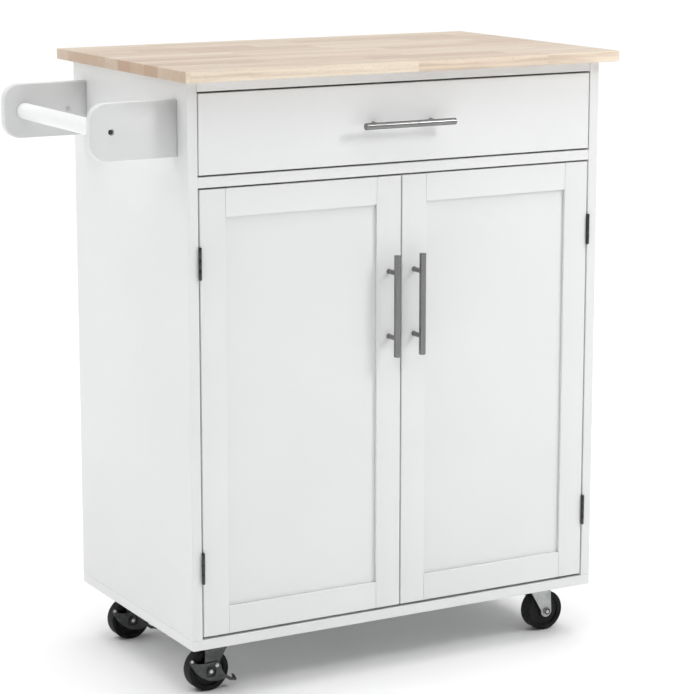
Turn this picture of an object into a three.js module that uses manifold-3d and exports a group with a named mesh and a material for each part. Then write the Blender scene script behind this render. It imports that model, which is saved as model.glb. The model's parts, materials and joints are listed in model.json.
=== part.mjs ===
// A rolling kitchen cart with a butcher block worktop, in millimetres, +Z up, its front facing -Y.
// The origin is on the floor, under the middle of the overall box.
import * as THREE from "three";
import { mergeVertices } from "three/addons/utils/BufferGeometryUtils.js";
import Module from "manifold-3d";

const wasm = await Module();
wasm.setup();

// Driving dimensions
const OVERALL_WIDTH = 831.85; // towel rail included
const HEIGHT = 914.4;
const WORKTOP = { width: 717.55, depth: 450.85, thickness: 16 };
const FRONT_OVERHANG = 30.5; // worktop past the faces of the drawer and doors
const CARCASS = { width: 685, depth: 395, bottom: 81.5 };
const BOARD = 15; // thickness of the painted boards
const FIT = 0.3; // clearance between pieces that meet
const FRONT_GAP = 2.7; // above and below the drawer front, and above the doors
const RAIL_DEPTH = 60;
const MIDDLE_RAIL_BOTTOM = 749.3;
const BACK_PANEL = { thickness: 3, inset: 10, groove: 6 };
const BACK_RAIL_HEIGHT = 60;
const SHELF = { bottom: 415, setback: 45, clearance: 1 };
const SHELF_PIN_HOLE = { radius: 2.6, depth: 9, spacing: 64, drop: 3, columns: [75, 340] };

const DRAWER = { sideGap: 2, side: 12, bottom: 775, height: 85, depth: 345, clearance: 12.7 };
const DRAWER_FLOOR = { thickness: 5, rise: 8, groove: 5 };
const RUNNER = { sheet: 1.2, bottom: 800, height: 35, start: 20, length: 345, flange: 10 };

const DOOR = { bottom: 100.5, hingeGap: 2.6, halfCentreGap: 1.2, frame: 40 };
const DOOR_PANEL = { thickness: 5, recess: 5, groove: 8 };
const HANDLE = { length: 150, radius: 5, centres: 96, postRadius: 4, standoff: 25 };
const DOOR_HANDLE_Z = 559.5;
const HINGE = { height: 45, fromDoorEnd: 103, leaf: 0.8, leafDepth: 12.5, proud: 2.6 };
const KNUCKLE = { radius: 2.3, pinRadius: 1, bore: 1.3 };
const CATCH = { width: 46, depth: 14, height: 13 };
const STRIKE = { width: 16, height: 12, thickness: 1.2 };

const TOWEL = { bracketHeight: 80, middle: 830.5, inset: 32, cornerRadius: 25 };
const TOWEL_ROD = { radius: 12, fromEnd: 31 };
const TOWEL_SCREW = { radius: 2.4, headRadius: 4.6, headDepth: 3 };
const BARREL_NUT = { radius: 4, depth: 9, fromPanel: 30 };

const CASTER = { x: 279, inset: 60, trail: 15 };
const CASTER_PLATE = { length: 62, width: 46, thickness: 2.5, holeRadius: 2.6, holeX: 23, holeY: 15.5 };
const SWIVEL = { radius: 17, bottom: 72.7, pinRadius: 5, pinBore: 5.4, headRadius: 8, headBottom: 65.5 };
const FORK = { topRadius: 20, sheet: 2.5, top: 72, innerHalf: 12.6, endRadius: 9.5, leading: 17 };
const WHEEL = { radius: 31.5, halfWidth: 11, axle: 4, bore: 4.4, hub: 11, hubHalf: 11.8 };
const AXLE_HEAD = { radius: 6, height: 3.2 };
const BRAKE = { gap: 0.5, sheet: 1.6, pivot: [-10, 8], pinRadius: 2, pinBore: 2.4, headBore: 8.5 };
const BRAKE_SHOE = { radius: 2, at: [-31.5, -15.9], reach: -8 };
const SPRING_PIN = { radius: 1.8, at: [31, 20], height: 1.6 };
const PEDAL_WIDTH = 8;

// Places worked out from them, in a frame centred on the carcass with y = 0 at its front
const HALF = CARCASS.width / 2;
const INNER = HALF - BOARD;
const WORKTOP_UNDERSIDE = HEIGHT - WORKTOP.thickness;
const BOTTOM_TOP = CARCASS.bottom + BOARD;
const TOP_RAIL_BOTTOM = WORKTOP_UNDERSIDE - FIT - BOARD;
const MIDDLE_RAIL_TOP = MIDDLE_RAIL_BOTTOM + BOARD;
const BACK_Y = CARCASS.depth - BACK_PANEL.inset - BACK_PANEL.thickness;
const DOOR_TOP = MIDDLE_RAIL_BOTTOM - FRONT_GAP;
const DRAWER_SIDE_X = INNER - DRAWER.clearance;
const DRAWER_FRONT = { bottom: MIDDLE_RAIL_TOP + FRONT_GAP, top: TOP_RAIL_BOTTOM - FRONT_GAP };
const RAIL_END = WORKTOP.width / 2 - OVERALL_WIDTH; // the towel rail's outermost x
const SIDES = { left: -1, right: 1 };

const finish = (color, roughness, metalness) =>
  new THREE.MeshStandardMaterial({ color, roughness, metalness });
const FINISHES = {
  paint: [0xeff0ef, 0.42, 0],
  rubberwood: [0xdcc6a6, 0.5, 0],
  brushedSteel: [0xb7b8b8, 0.32, 1],
  darkSteel: [0x4d4d4f, 0.45, 0.9],
  zinc: [0xa9abac, 0.4, 1],
  blackTyre: [0x151515, 0.55, 0],
  darkPlastic: [0x3a3a3c, 0.6, 0],
};

const root = new THREE.Group();
const cart = new THREE.Group();
cart.position.x = (OVERALL_WIDTH - WORKTOP.width) / 2;
cart.position.y = FRONT_OVERHANG - WORKTOP.depth / 2;
root.add(cart);

function place(group, name, finishName, geometry) {
  const mesh = new THREE.Mesh(geometry, finish(...FINISHES[finishName]));
  mesh.name = name;
  group.add(mesh);
  return mesh;
}

// A rectangular board between two ends along each axis, centred on its mesh's own position.
function board(name, finishName, x, y, z) {
  const size = [x, y, z].map(([from, to]) => Math.abs(to - from));
  const mesh = place(cart, name, finishName, new THREE.BoxGeometry(...size));
  mesh.position.set(...[x, y, z].map(([from, to]) => (from + to) / 2));
}

function block(x, y, z) {
  const size = [x, y, z].map(([from, to]) => Math.abs(to - from));
  const centre = [x, y, z].map(([from, to]) => (from + to) / 2);
  return new THREE.BoxGeometry(...size).translate(...centre);
}

const outline = (points) => new THREE.Shape(points.map(([a, b]) => new THREE.Vector2(a, b)));
const straight = (depth) => ({ depth, bevelEnabled: false, curveSegments: 8 });

// An outline in x and y, carried up from z0 to z1.
const prismZ = (shape, z0, z1) =>
  new THREE.ExtrudeGeometry(shape, straight(z1 - z0)).translate(0, 0, z0);

// An outline in x and z, carried back from y0 to y1.
const prismY = (shape, y0, y1) =>
  new THREE.ExtrudeGeometry(shape, straight(y1 - y0)).rotateX(Math.PI / 2).translate(0, y1, 0);

// An outline in y and z, carried across from x0 to x1.
const prismX = (shape, x0, x1) =>
  new THREE.ExtrudeGeometry(shape, straight(x1 - x0))
    .rotateX(Math.PI / 2)
    .rotateZ(Math.PI / 2)
    .translate(x0, 0, 0);

const rodY = (radius, x, z, y0, y1, sides = 20) =>
  new THREE.CylinderGeometry(radius, radius, y1 - y0, sides).translate(x, (y0 + y1) / 2, z);

const rodZ = (radius, x, y, z0, z1, sides = 24) =>
  new THREE.CylinderGeometry(radius, radius, z1 - z0, sides)
    .rotateX(Math.PI / 2)
    .translate(x, y, (z0 + z1) / 2);

const rodX = (radius, y, z, x0, x1, sides = 20) =>
  new THREE.CylinderGeometry(radius, radius, x1 - x0, sides)
    .rotateZ(Math.PI / 2)
    .translate((x0 + x1) / 2, y, z);

function solid(geometry) {
  const bare = geometry.clone();
  bare.deleteAttribute("normal");
  bare.deleteAttribute("uv");
  const merged = mergeVertices(bare, 1e-4);
  const vertProperties = new Float32Array(merged.attributes.position.array);
  const triVerts = new Uint32Array(merged.index.array);
  return new wasm.Manifold(new wasm.Mesh({ numProp: 3, vertProperties, triVerts }));
}

function geometryOf(manifold) {
  const mesh = manifold.getMesh();
  const geometry = new THREE.BufferGeometry();
  geometry.setAttribute("position", new THREE.BufferAttribute(mesh.vertProperties, mesh.numProp));
  geometry.setIndex(new THREE.BufferAttribute(mesh.triVerts, 1));
  const flat = geometry.toNonIndexed();
  flat.computeVertexNormals();
  return flat;
}

// The first pieces joined, less the cutters.
function carve(pieces, cutters = []) {
  let body = pieces.map(solid).reduce((all, one) => all.add(one));
  for (const cutter of cutters) body = body.subtract(solid(cutter));
  return geometryOf(body);
}

function makeWorktop() {
  board(
    "worktop",
    "rubberwood",
    [-WORKTOP.width / 2, WORKTOP.width / 2],
    [-FRONT_OVERHANG, WORKTOP.depth - FRONT_OVERHANG],
    [WORKTOP_UNDERSIDE, HEIGHT],
  );
}

// A side panel has a groove for the back panel and blind holes for the shelf pins.
function makeSidePanel(name, side) {
  const depthIn = INNER + BACK_PANEL.groove;
  const groove = [BACK_Y - FIT, BACK_Y + BACK_PANEL.thickness + FIT];
  const section = outline(
    [
      [HALF, 0],
      [INNER, 0],
      [INNER, groove[0]],
      [depthIn, groove[0]],
      [depthIn, groove[1]],
      [INNER, groove[1]],
      [INNER, CARCASS.depth],
      [HALF, CARCASS.depth],
    ].map(([x, y]) => [side * x, y]),
  );
  const holes = [];
  for (const y of SHELF_PIN_HOLE.columns) {
    for (const step of [-1, 0, 1]) {
      const z = SHELF.bottom - SHELF_PIN_HOLE.drop + step * SHELF_PIN_HOLE.spacing;
      const ends = [side * (INNER - 1), side * (INNER + SHELF_PIN_HOLE.depth)].sort((a, b) => a - b);
      holes.push(rodX(SHELF_PIN_HOLE.radius, y, z, ...ends, 12));
    }
  }
  const slab = prismZ(section, BOTTOM_TOP + FIT, WORKTOP_UNDERSIDE - FIT);
  place(cart, `${name}_side_panel`, "paint", carve([slab], holes));
}

function makeCarcass() {
  const between = [FIT - INNER, INNER - FIT];
  const backReach = INNER + BACK_PANEL.groove - FIT;
  board("bottom_board", "paint", [-HALF, HALF], [0, CARCASS.depth], [CARCASS.bottom, BOTTOM_TOP]);
  for (const [name, side] of Object.entries(SIDES)) makeSidePanel(name, side);
  board(
    "back_panel",
    "paint",
    [-backReach, backReach],
    [BACK_Y, BACK_Y + BACK_PANEL.thickness],
    [BOTTOM_TOP + FIT, WORKTOP_UNDERSIDE - FIT],
  );
  board(
    "top_front_rail",
    "paint",
    between,
    [0, RAIL_DEPTH],
    [TOP_RAIL_BOTTOM, WORKTOP_UNDERSIDE - FIT],
  );
  board(
    "top_back_rail",
    "paint",
    between,
    [BACK_Y - FIT - BOARD, BACK_Y - FIT],
    [WORKTOP_UNDERSIDE - FIT - BACK_RAIL_HEIGHT, WORKTOP_UNDERSIDE - FIT],
  );
  board(
    "middle_rail",
    "paint",
    between,
    [0, RAIL_DEPTH],
    [MIDDLE_RAIL_BOTTOM, MIDDLE_RAIL_TOP],
  );
  board(
    "shelf",
    "paint",
    [SHELF.clearance - INNER, INNER - SHELF.clearance],
    [SHELF.setback, BACK_Y - FIT],
    [SHELF.bottom, SHELF.bottom + BOARD],
  );
}

// A bar on two posts. Its bar runs along x when it lies across, and along z when it stands.
function makeHandle(name, x, z, standing) {
  const { length, radius, centres, postRadius, standoff } = HANDLE;
  const along = (offset) => (standing ? [x, z + offset] : [x + offset, z]);
  const bar = standing
    ? rodZ(radius, x, -standoff, z - length / 2, z + length / 2)
    : rodX(radius, -standoff, z, x - length / 2, x + length / 2, 24);
  const posts = [-1, 1].map((end) => {
    const [postX, postZ] = along((end * centres) / 2);
    return rodY(postRadius, postX, postZ, -standoff, -FIT);
  });
  place(cart, name, "brushedSteel", carve([bar, ...posts]));
}

function makeDrawer() {
  const front = [0, BOARD];
  const boxY = [BOARD + FIT, BOARD + FIT + DRAWER.depth];
  const boxTop = DRAWER.bottom + DRAWER.height;
  const floorBottom = DRAWER.bottom + DRAWER_FLOOR.rise;
  const floorTop = floorBottom + DRAWER_FLOOR.thickness;
  const insideX = DRAWER_SIDE_X - DRAWER.side;
  const floorX = insideX + DRAWER_FLOOR.groove - FIT;
  board(
    "drawer_front",
    "paint",
    [DRAWER.sideGap - INNER, INNER - DRAWER.sideGap],
    front,
    [DRAWER_FRONT.bottom, DRAWER_FRONT.top],
  );
  for (const [name, side] of Object.entries(SIDES)) {
    const section = [
      [DRAWER_SIDE_X, DRAWER.bottom],
      [DRAWER_SIDE_X, boxTop],
      [insideX, boxTop],
      [insideX, floorTop + FIT],
      [insideX + DRAWER_FLOOR.groove, floorTop + FIT],
      [insideX + DRAWER_FLOOR.groove, floorBottom - FIT],
      [insideX, floorBottom - FIT],
      [insideX, DRAWER.bottom],
    ].map(([x, z]) => [side * x, z]);
    place(cart, `drawer_${name}_side`, "paint", prismY(outline(section), ...boxY));
  }
  board(
    "drawer_back",
    "paint",
    [FIT - insideX, insideX - FIT],
    [boxY[1] - DRAWER.side, boxY[1]],
    [floorTop + FIT, boxTop],
  );
  board("drawer_bottom", "paint", [-floorX, floorX], boxY, [floorBottom, floorTop]);
  makeHandle("drawer_handle", 0, (DRAWER_FRONT.bottom + DRAWER_FRONT.top) / 2, false);
}

// A channel section in x and z: its web stands at x = web, and its two flanges reach to tip.
function channel(web, tip, bottom, top, sheet) {
  const inward = Math.sign(tip - web);
  return [
    [web, bottom],
    [tip, bottom],
    [tip, bottom + sheet],
    [web + inward * sheet, bottom + sheet],
    [web + inward * sheet, top - sheet],
    [tip, top - sheet],
    [tip, top],
    [web, top],
  ];
}

// Each runner is two nested channels: one on the side panel and one on the drawer.
function makeRunners() {
  const nest = 2 * RUNNER.sheet;
  const y = [RUNNER.start, RUNNER.start + RUNNER.length];
  const top = RUNNER.bottom + RUNNER.height;
  const cabinetWeb = INNER - FIT;
  const drawerWeb = DRAWER_SIDE_X + FIT;
  for (const [name, side] of Object.entries(SIDES)) {
    const outer = channel(cabinetWeb, cabinetWeb - RUNNER.flange, RUNNER.bottom, top, RUNNER.sheet);
    const inner = channel(
      drawerWeb,
      drawerWeb + RUNNER.flange,
      RUNNER.bottom + nest,
      top - nest,
      RUNNER.sheet,
    );
    const mirrored = (section) => outline(section.map(([x, z]) => [side * x, z]));
    place(cart, `${name}_cabinet_runner`, "zinc", prismY(mirrored(outer), ...y));
    place(cart, `${name}_drawer_runner`, "zinc", prismY(mirrored(inner), ...y));
  }
}

// A frame member's section: a rectangle with a groove for the panel in the edge at inner.
function grooved(outer, inner) {
  const inward = Math.sign(inner - outer);
  const groove = inner - inward * DOOR_PANEL.groove;
  const front = DOOR_PANEL.recess - FIT;
  const back = DOOR_PANEL.recess + DOOR_PANEL.thickness + FIT;
  return [
    [outer, 0],
    [inner, 0],
    [inner, front],
    [groove, front],
    [groove, back],
    [inner, back],
    [inner, BOARD],
    [outer, BOARD],
  ];
}

// A door is two full-height stiles, two rails between them, and a recessed panel in their grooves.
function makeDoor(name, side) {
  const outerX = side * (INNER - DOOR.hingeGap);
  const innerX = side * DOOR.halfCentreGap;
  const panelX = [outerX - side * DOOR.frame, innerX + side * DOOR.frame];
  const panelZ = [DOOR.bottom + DOOR.frame, DOOR_TOP - DOOR.frame];
  const reach = DOOR_PANEL.groove - FIT;
  const stile = (outer, inner) => prismZ(outline(grooved(outer, inner)), DOOR.bottom, DOOR_TOP);
  place(cart, `${name}_door_hinge_stile`, "paint", stile(outerX, panelX[0]));
  place(cart, `${name}_door_meeting_stile`, "paint", stile(innerX, panelX[1]));

  const railX = [Math.min(...panelX) + FIT, Math.max(...panelX) - FIT];
  const rail = (outer, inner) =>
    prismX(outline(grooved(outer, inner).map(([z, y]) => [y, z])), ...railX);
  place(cart, `${name}_door_top_rail`, "paint", rail(DOOR_TOP, panelZ[1]));
  place(cart, `${name}_door_bottom_rail`, "paint", rail(DOOR.bottom, panelZ[0]));
  board(
    `${name}_door_panel`,
    "paint",
    [Math.min(...panelX) - reach, Math.max(...panelX) + reach],
    [DOOR_PANEL.recess, DOOR_PANEL.recess + DOOR_PANEL.thickness],
    [panelZ[0] - reach, panelZ[1] + reach],
  );

  const stileMiddle = side * (DOOR.halfCentreGap + DOOR.frame / 2);
  makeHandle(`${name}_door_handle`, stileMiddle, DOOR_HANDLE_Z, true);
  board(
    `${name}_door_strike_plate`,
    "zinc",
    [side * DOOR.halfCentreGap * 2, side * (DOOR.halfCentreGap * 2 + STRIKE.width)],
    [BOARD + FIT, BOARD + FIT + STRIKE.thickness],
    [DOOR_TOP - STRIKE.height, DOOR_TOP - FIT],
  );
}

// The double magnetic catch hangs under the middle rail, behind both doors' strike plates.
function makeCatch() {
  const front = BOARD + STRIKE.thickness + 3 * FIT;
  board(
    "magnetic_catch",
    "darkPlastic",
    [-CATCH.width / 2, CATCH.width / 2],
    [front, front + CATCH.depth],
    [MIDDLE_RAIL_BOTTOM - FIT - CATCH.height, MIDDLE_RAIL_BOTTOM - FIT],
  );
}

// A butt hinge stands in the gap beside the door, with its knuckle proud of the front.
// The cabinet leaf has the outer two knuckles and the pin, the door leaf has the middle one.
function makeHinge(name, side, centreZ) {
  const axisX = side * (INNER - DOOR.hingeGap / 2);
  const axisY = -HINGE.proud;
  const third = HINGE.height / 6;
  const ends = [centreZ - HINGE.height / 2, centreZ + HINGE.height / 2];
  const middle = [centreZ - third + FIT / 2, centreZ + third - FIT / 2];
  const leafX = (wall, towards) => [wall, wall + towards * HINGE.leaf];
  const cabinetX = leafX(side * (INNER - FIT), -side);
  const doorX = leafX(side * (INNER - DOOR.hingeGap + FIT), side);
  const knuckle = (z) => rodZ(KNUCKLE.radius, axisX, axisY, ...z, 20);
  const plate = (x) => block(x, [0, HINGE.leafDepth], ends);
  const tongue = (x, z) => block(x, [axisY, 1], z);
  const outerThirds = [
    [ends[0], centreZ - third - FIT / 2],
    [centreZ + third + FIT / 2, ends[1]],
  ];
  const pin = rodZ(KNUCKLE.pinRadius, axisX, axisY, ...ends, 12);
  const bore = rodZ(KNUCKLE.bore, axisX, axisY, ends[0], ends[1], 12);
  place(
    cart,
    `${name}_hinge_cabinet_leaf`,
    "darkSteel",
    carve([
      plate(cabinetX),
      ...outerThirds.map((z) => tongue(cabinetX, z)),
      ...outerThirds.map(knuckle),
      pin,
    ]),
  );
  place(
    cart,
    `${name}_hinge_door_leaf`,
    "darkSteel",
    carve([plate(doorX), tongue(doorX, middle), knuckle(middle)], [bore]),
  );
}

function makeDoors() {
  for (const [name, side] of Object.entries(SIDES)) {
    makeDoor(name, side);
    makeHinge(`${name}_upper`, side, DOOR_TOP - HINGE.fromDoorEnd);
    makeHinge(`${name}_lower`, side, DOOR.bottom + HINGE.fromDoorEnd);
  }
  makeCatch();
}

// A bracket stands out from the side panel, its two outer corners rounded.
function bracketOutline() {
  const radius = TOWEL.cornerRadius;
  const inner = -HALF - FIT;
  const bottom = TOWEL.middle - TOWEL.bracketHeight / 2;
  const top = TOWEL.middle + TOWEL.bracketHeight / 2;
  const shape = new THREE.Shape();
  shape.moveTo(inner, bottom);
  shape.lineTo(inner, top);
  shape.lineTo(RAIL_END + radius, top);
  shape.absarc(RAIL_END + radius, top - radius, radius, Math.PI / 2, Math.PI);
  shape.lineTo(RAIL_END, bottom + radius);
  shape.absarc(RAIL_END + radius, bottom + radius, radius, Math.PI, 1.5 * Math.PI);
  return shape;
}

// Each bracket is bored and countersunk for the rod's screw, and has a blind hole for a barrel nut.
function makeTowelRail() {
  const rodX0 = RAIL_END + TOWEL_ROD.fromEnd;
  const nutX = -HALF - BARREL_NUT.fromPanel;
  const front = { outer: TOWEL.inset, inner: TOWEL.inset + BOARD };
  const back = { outer: CARCASS.depth - TOWEL.inset, inner: CARCASS.depth - TOWEL.inset - BOARD };
  for (const [name, { outer, inner }] of Object.entries({ front, back })) {
    const inward = Math.sign(inner - outer);
    const span = (from, to) => [Math.min(from, to), Math.max(from, to)];
    const slab = prismY(bracketOutline(), ...span(outer, inner));
    const bore = rodY(TOWEL_SCREW.radius, rodX0, TOWEL.middle, ...span(outer, inner + inward), 12);
    const sink = span(outer - inward, outer + inward * TOWEL_SCREW.headDepth);
    const head = rodY(TOWEL_SCREW.headRadius, rodX0, TOWEL.middle, ...sink, 16);
    const nut = span(inner + inward, inner - inward * BARREL_NUT.depth);
    const nutHole = rodY(BARREL_NUT.radius, nutX, TOWEL.middle, ...nut, 16);
    place(cart, `towel_bracket_${name}`, "paint", carve([slab], [bore, head, nutHole]));
  }
  const rod = rodY(TOWEL_ROD.radius, rodX0, TOWEL.middle, front.inner + FIT, back.inner - FIT, 40);
  place(cart, "towel_rod", "paint", rod);
}

// The plate a caster is screwed on by, with the fixed half of its swivel and the king pin.
function makeCasterPlate(name, group) {
  const { length, width, thickness, holeRadius, holeX, holeY } = CASTER_PLATE;
  const top = CARCASS.bottom - FIT;
  const bottom = top - thickness;
  const flange = block([-length / 2, length / 2], [-width / 2, width / 2], [bottom, top]);
  const race = rodZ(SWIVEL.radius, 0, 0, SWIVEL.bottom, bottom + 1, 28);
  const pin = rodZ(SWIVEL.pinRadius, 0, 0, SWIVEL.headBottom, bottom + 1, 16);
  const head = rodZ(SWIVEL.headRadius, 0, 0, SWIVEL.headBottom, SWIVEL.headBottom + 2.5, 20);
  const holes = [-1, 1].flatMap((x) =>
    [-1, 1].map((y) => rodZ(holeRadius, x * holeX, y * holeY, bottom - 1, top + 1, 12)),
  );
  place(group, `${name}_caster_plate`, "zinc", carve([flange, race, pin, head], holes));
}

// A cheek of the fork in u and z: wide under the swivel, with a round end about the axle.
function cheekOutline() {
  const shape = new THREE.Shape();
  shape.moveTo(-FORK.leading, FORK.top);
  shape.lineTo(CASTER.trail - FORK.endRadius, WHEEL.radius + 2);
  shape.absarc(CASTER.trail, WHEEL.radius, FORK.endRadius, Math.PI, 2 * Math.PI);
  shape.lineTo(CASTER.trail + FORK.endRadius - 2, FORK.top);
  return shape;
}

// A point given in u and z from the axle, in the caster's own frame.
const fromAxle = ([u, z]) => [CASTER.trail + u, WHEEL.radius + z];

// The fork turns on the king pin. Its axle is riveted through both cheeks, and a braked fork
// has a stub pin on the cheek that carries the brake lever.
function makeFork(name, group, braked) {
  const { topRadius, sheet, top, innerHalf } = FORK;
  const outerHalf = innerHalf + sheet;
  const roof = rodZ(topRadius, 0, 0, top - sheet, top, 32);
  const cheeks = [-outerHalf, innerHalf].map((y) => prismY(cheekOutline(), y, y + sheet));
  const axle = rodY(WHEEL.axle, ...fromAxle([0, 0]), -outerHalf, outerHalf);
  const heads = [-1, 1].map((side) => {
    const ends = [side * (outerHalf - 1), side * (outerHalf + AXLE_HEAD.height)].sort((a, b) => a - b);
    return rodY(AXLE_HEAD.radius, ...fromAxle([0, 0]), ...ends, 6);
  });
  const pinEnd = outerHalf + BRAKE.gap + BRAKE.sheet + 1;
  const pin = rodY(BRAKE.pinRadius, ...fromAxle(BRAKE.pivot), outerHalf - 1, pinEnd, 12);
  const bore = rodZ(SWIVEL.pinBore, 0, 0, top - sheet - 1, top + 1, 20);
  const pieces = [roof, ...cheeks, axle, ...heads, ...(braked ? [pin] : [])];
  place(group, `${name}_caster_fork`, braked ? "darkSteel" : "zinc", carve(pieces, [bore]));
}

// Half of the wheel's section, as radius and half width, from the bore out to the tread.
const WHEEL_HALF_SECTION = [
  [WHEEL.bore, WHEEL.hubHalf],
  [WHEEL.hub, WHEEL.hubHalf],
  [WHEEL.hub + 1, 8.6],
  [23, 8.6],
  [24.5, 10.4],
  [28.5, WHEEL.halfWidth],
  [30.6, 9.6],
  [WHEEL.radius, 7],
];

function makeWheel(name, group) {
  const far = WHEEL_HALF_SECTION.map(([radius, half]) => [radius, half]);
  const near = WHEEL_HALF_SECTION.map(([radius, half]) => [radius, -half]);
  const loop = [...near, ...far.reverse(), near[0]];
  const section = loop.map(([radius, y]) => new THREE.Vector2(radius, y));
  const [u, z] = fromAxle([0, 0]);
  const wheel = place(group, `${name}_caster_wheel`, "blackTyre", new THREE.LatheGeometry(section, 36));
  wheel.position.set(u, 0, z);
}

// The brake lever in u and z from the axle: its lower edge from the stem to the spring pin's
// end, then its upper edge back.
const BRAKE_LEVER = [
  [-36, -19],
  [-30, -18.2],
  [-24, -13.8],
  [-19, -14.8],
  [-10, -16.2],
  [4, -13.5],
  [16, -6.5],
  [25, 2],
  [30.5, 11],
  [33.8, 18.5],
  [33.4, 21.6],
  [31, 23],
  [28.4, 21.8],
  [25, 15.5],
  [17, 13.5],
  [8, 13],
  [-4, 13.5],
  [-12, 13],
  [-15.5, 9],
  [-18, 1],
  [-23, -8],
  [-32, -14],
  [-36, -16.4],
];
// The pedal at the stem's end, with its lip turned up.
const PEDAL = [
  [-34, -18.4],
  [-39.8, -20.4],
  [-41.8, -18.8],
  [-38.8, -11.4],
  [-36.8, -12],
  [-38.6, -17.2],
  [-34, -16],
];

// The lever rocks on the fork's stub pin. Its shoe meets the tread when the pedal goes down.
function makeBrake(name, group) {
  const inner = FORK.innerHalf + FORK.sheet + BRAKE.gap;
  const outer = inner + BRAKE.sheet;
  const lever = prismY(outline(BRAKE_LEVER.map(fromAxle)), inner, outer);
  const pedal = prismY(outline(PEDAL.map(fromAxle)), outer - PEDAL_WIDTH, outer);
  const shoe = rodY(BRAKE_SHOE.radius, ...fromAxle(BRAKE_SHOE.at), BRAKE_SHOE.reach, outer, 12);
  const pinSpan = [inner, outer + SPRING_PIN.height];
  const springPin = rodY(SPRING_PIN.radius, ...fromAxle(SPRING_PIN.at), ...pinSpan, 12);
  const through = (radius, at, sides) => rodY(radius, ...fromAxle(at), inner - 1, outer + 1, sides);
  const holes = [
    through(BRAKE.headBore, [0, 0], 24),
    through(BRAKE.pinBore, BRAKE.pivot, 12),
  ];
  place(group, `${name}_caster_brake`, "darkSteel", carve([lever, pedal, shoe, springPin], holes));
}

// The left-hand casters have brakes and trail to the left, the right-hand ones trail to the right.
function makeCasters() {
  const rows = { front: CASTER.inset, back: CARCASS.depth - CASTER.inset };
  for (const [row, y] of Object.entries(rows)) {
    for (const [name, side] of Object.entries(SIDES)) {
      const caster = new THREE.Group();
      caster.position.set(side * CASTER.x, y, 0);
      caster.rotation.z = side < 0 ? Math.PI : 0;
      cart.add(caster);
      const full = `${row}_${name}`;
      makeCasterPlate(full, caster);
      makeFork(full, caster, side < 0);
      makeWheel(full, caster);
      if (side < 0) makeBrake(full, caster);
    }
  }
}

makeWorktop();
makeCarcass();
makeDrawer();
makeRunners();
makeDoors();
makeTowelRail();
makeCasters();

export default root;
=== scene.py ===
"""The looks of a rolling kitchen cart with a butcher block worktop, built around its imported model."""

import json
import logging
import math
from abc import ABC, abstractmethod
from dataclasses import dataclass, fields
from enum import Enum
from typing import Callable, ClassVar, Iterable, Mapping, Sequence, Union

import bmesh
import bpy
from mathutils import Matrix, Vector

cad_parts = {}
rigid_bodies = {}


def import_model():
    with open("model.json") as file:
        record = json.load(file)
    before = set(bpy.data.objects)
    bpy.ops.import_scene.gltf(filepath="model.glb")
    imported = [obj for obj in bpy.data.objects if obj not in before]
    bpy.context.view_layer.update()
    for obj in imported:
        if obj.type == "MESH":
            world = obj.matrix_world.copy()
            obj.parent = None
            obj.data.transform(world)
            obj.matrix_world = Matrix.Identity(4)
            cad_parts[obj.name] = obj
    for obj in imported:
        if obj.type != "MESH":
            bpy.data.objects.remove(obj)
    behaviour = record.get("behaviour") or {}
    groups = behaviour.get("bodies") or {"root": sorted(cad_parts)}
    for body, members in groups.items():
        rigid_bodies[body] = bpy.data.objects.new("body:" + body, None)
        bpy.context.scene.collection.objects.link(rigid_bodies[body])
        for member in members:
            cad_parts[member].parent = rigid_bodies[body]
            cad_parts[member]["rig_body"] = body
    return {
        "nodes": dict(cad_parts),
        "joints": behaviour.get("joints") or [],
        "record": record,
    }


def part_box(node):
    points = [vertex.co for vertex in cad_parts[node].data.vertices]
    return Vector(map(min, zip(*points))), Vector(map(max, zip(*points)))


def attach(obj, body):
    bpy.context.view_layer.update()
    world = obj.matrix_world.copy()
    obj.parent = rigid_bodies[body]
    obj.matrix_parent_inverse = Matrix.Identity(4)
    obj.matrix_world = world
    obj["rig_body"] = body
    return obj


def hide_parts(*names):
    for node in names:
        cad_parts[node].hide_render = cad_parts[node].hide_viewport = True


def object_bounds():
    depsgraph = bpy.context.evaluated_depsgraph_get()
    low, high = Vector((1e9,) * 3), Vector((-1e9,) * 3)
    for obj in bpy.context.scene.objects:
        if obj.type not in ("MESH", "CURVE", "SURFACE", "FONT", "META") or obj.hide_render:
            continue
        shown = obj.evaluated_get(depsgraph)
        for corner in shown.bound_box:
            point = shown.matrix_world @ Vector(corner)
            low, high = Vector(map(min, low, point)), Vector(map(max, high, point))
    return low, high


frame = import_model()
CAD_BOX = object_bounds()

log = logging.getLogger("kitchen_cart")
MM = 0.001
MERGE = 0.01 * MM
VECTORS = {"data_type": "FLOAT_VECTOR"}
SAME_FACE = math.radians(0.5)
EASED_CORNER = math.radians(36)
HEAD_CORNER = math.radians(35)
HELD_BY_END = 1.5
JOINTS = {joint["name"]: joint for joint in frame["joints"]}
SLOTS = {part["node"]: part["material_slot"] for part in frame["record"]["subparts"]}

Value = Union["Signal", bool, float, Sequence[float], bpy.types.ID]
Profile = Sequence[tuple[float, float]]


class Axis(Enum):
    """A direction of the cart's frame."""

    X = Vector((1.0, 0.0, 0.0))
    Y = Vector((0.0, 1.0, 0.0))
    Z = Vector((0.0, 0.0, 1.0))

    def turn(self) -> Matrix:
        """Returns the rotation that lays an upright piece along this direction."""
        return Vector((0.0, 0.0, 1.0)).rotation_difference(self.value).to_matrix().to_4x4()


class Drive(Enum):
    """What a screw's head takes."""

    CROSS = "cross recess"
    HEX = "hexagon socket"
    PLAIN = "plain"


class Side(Enum):
    """A side of the cart, seen from the front."""

    LEFT = "left"
    RIGHT = "right"


class Row(Enum):
    """A row of casters."""

    FRONT = "front"
    BACK = "back"


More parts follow.
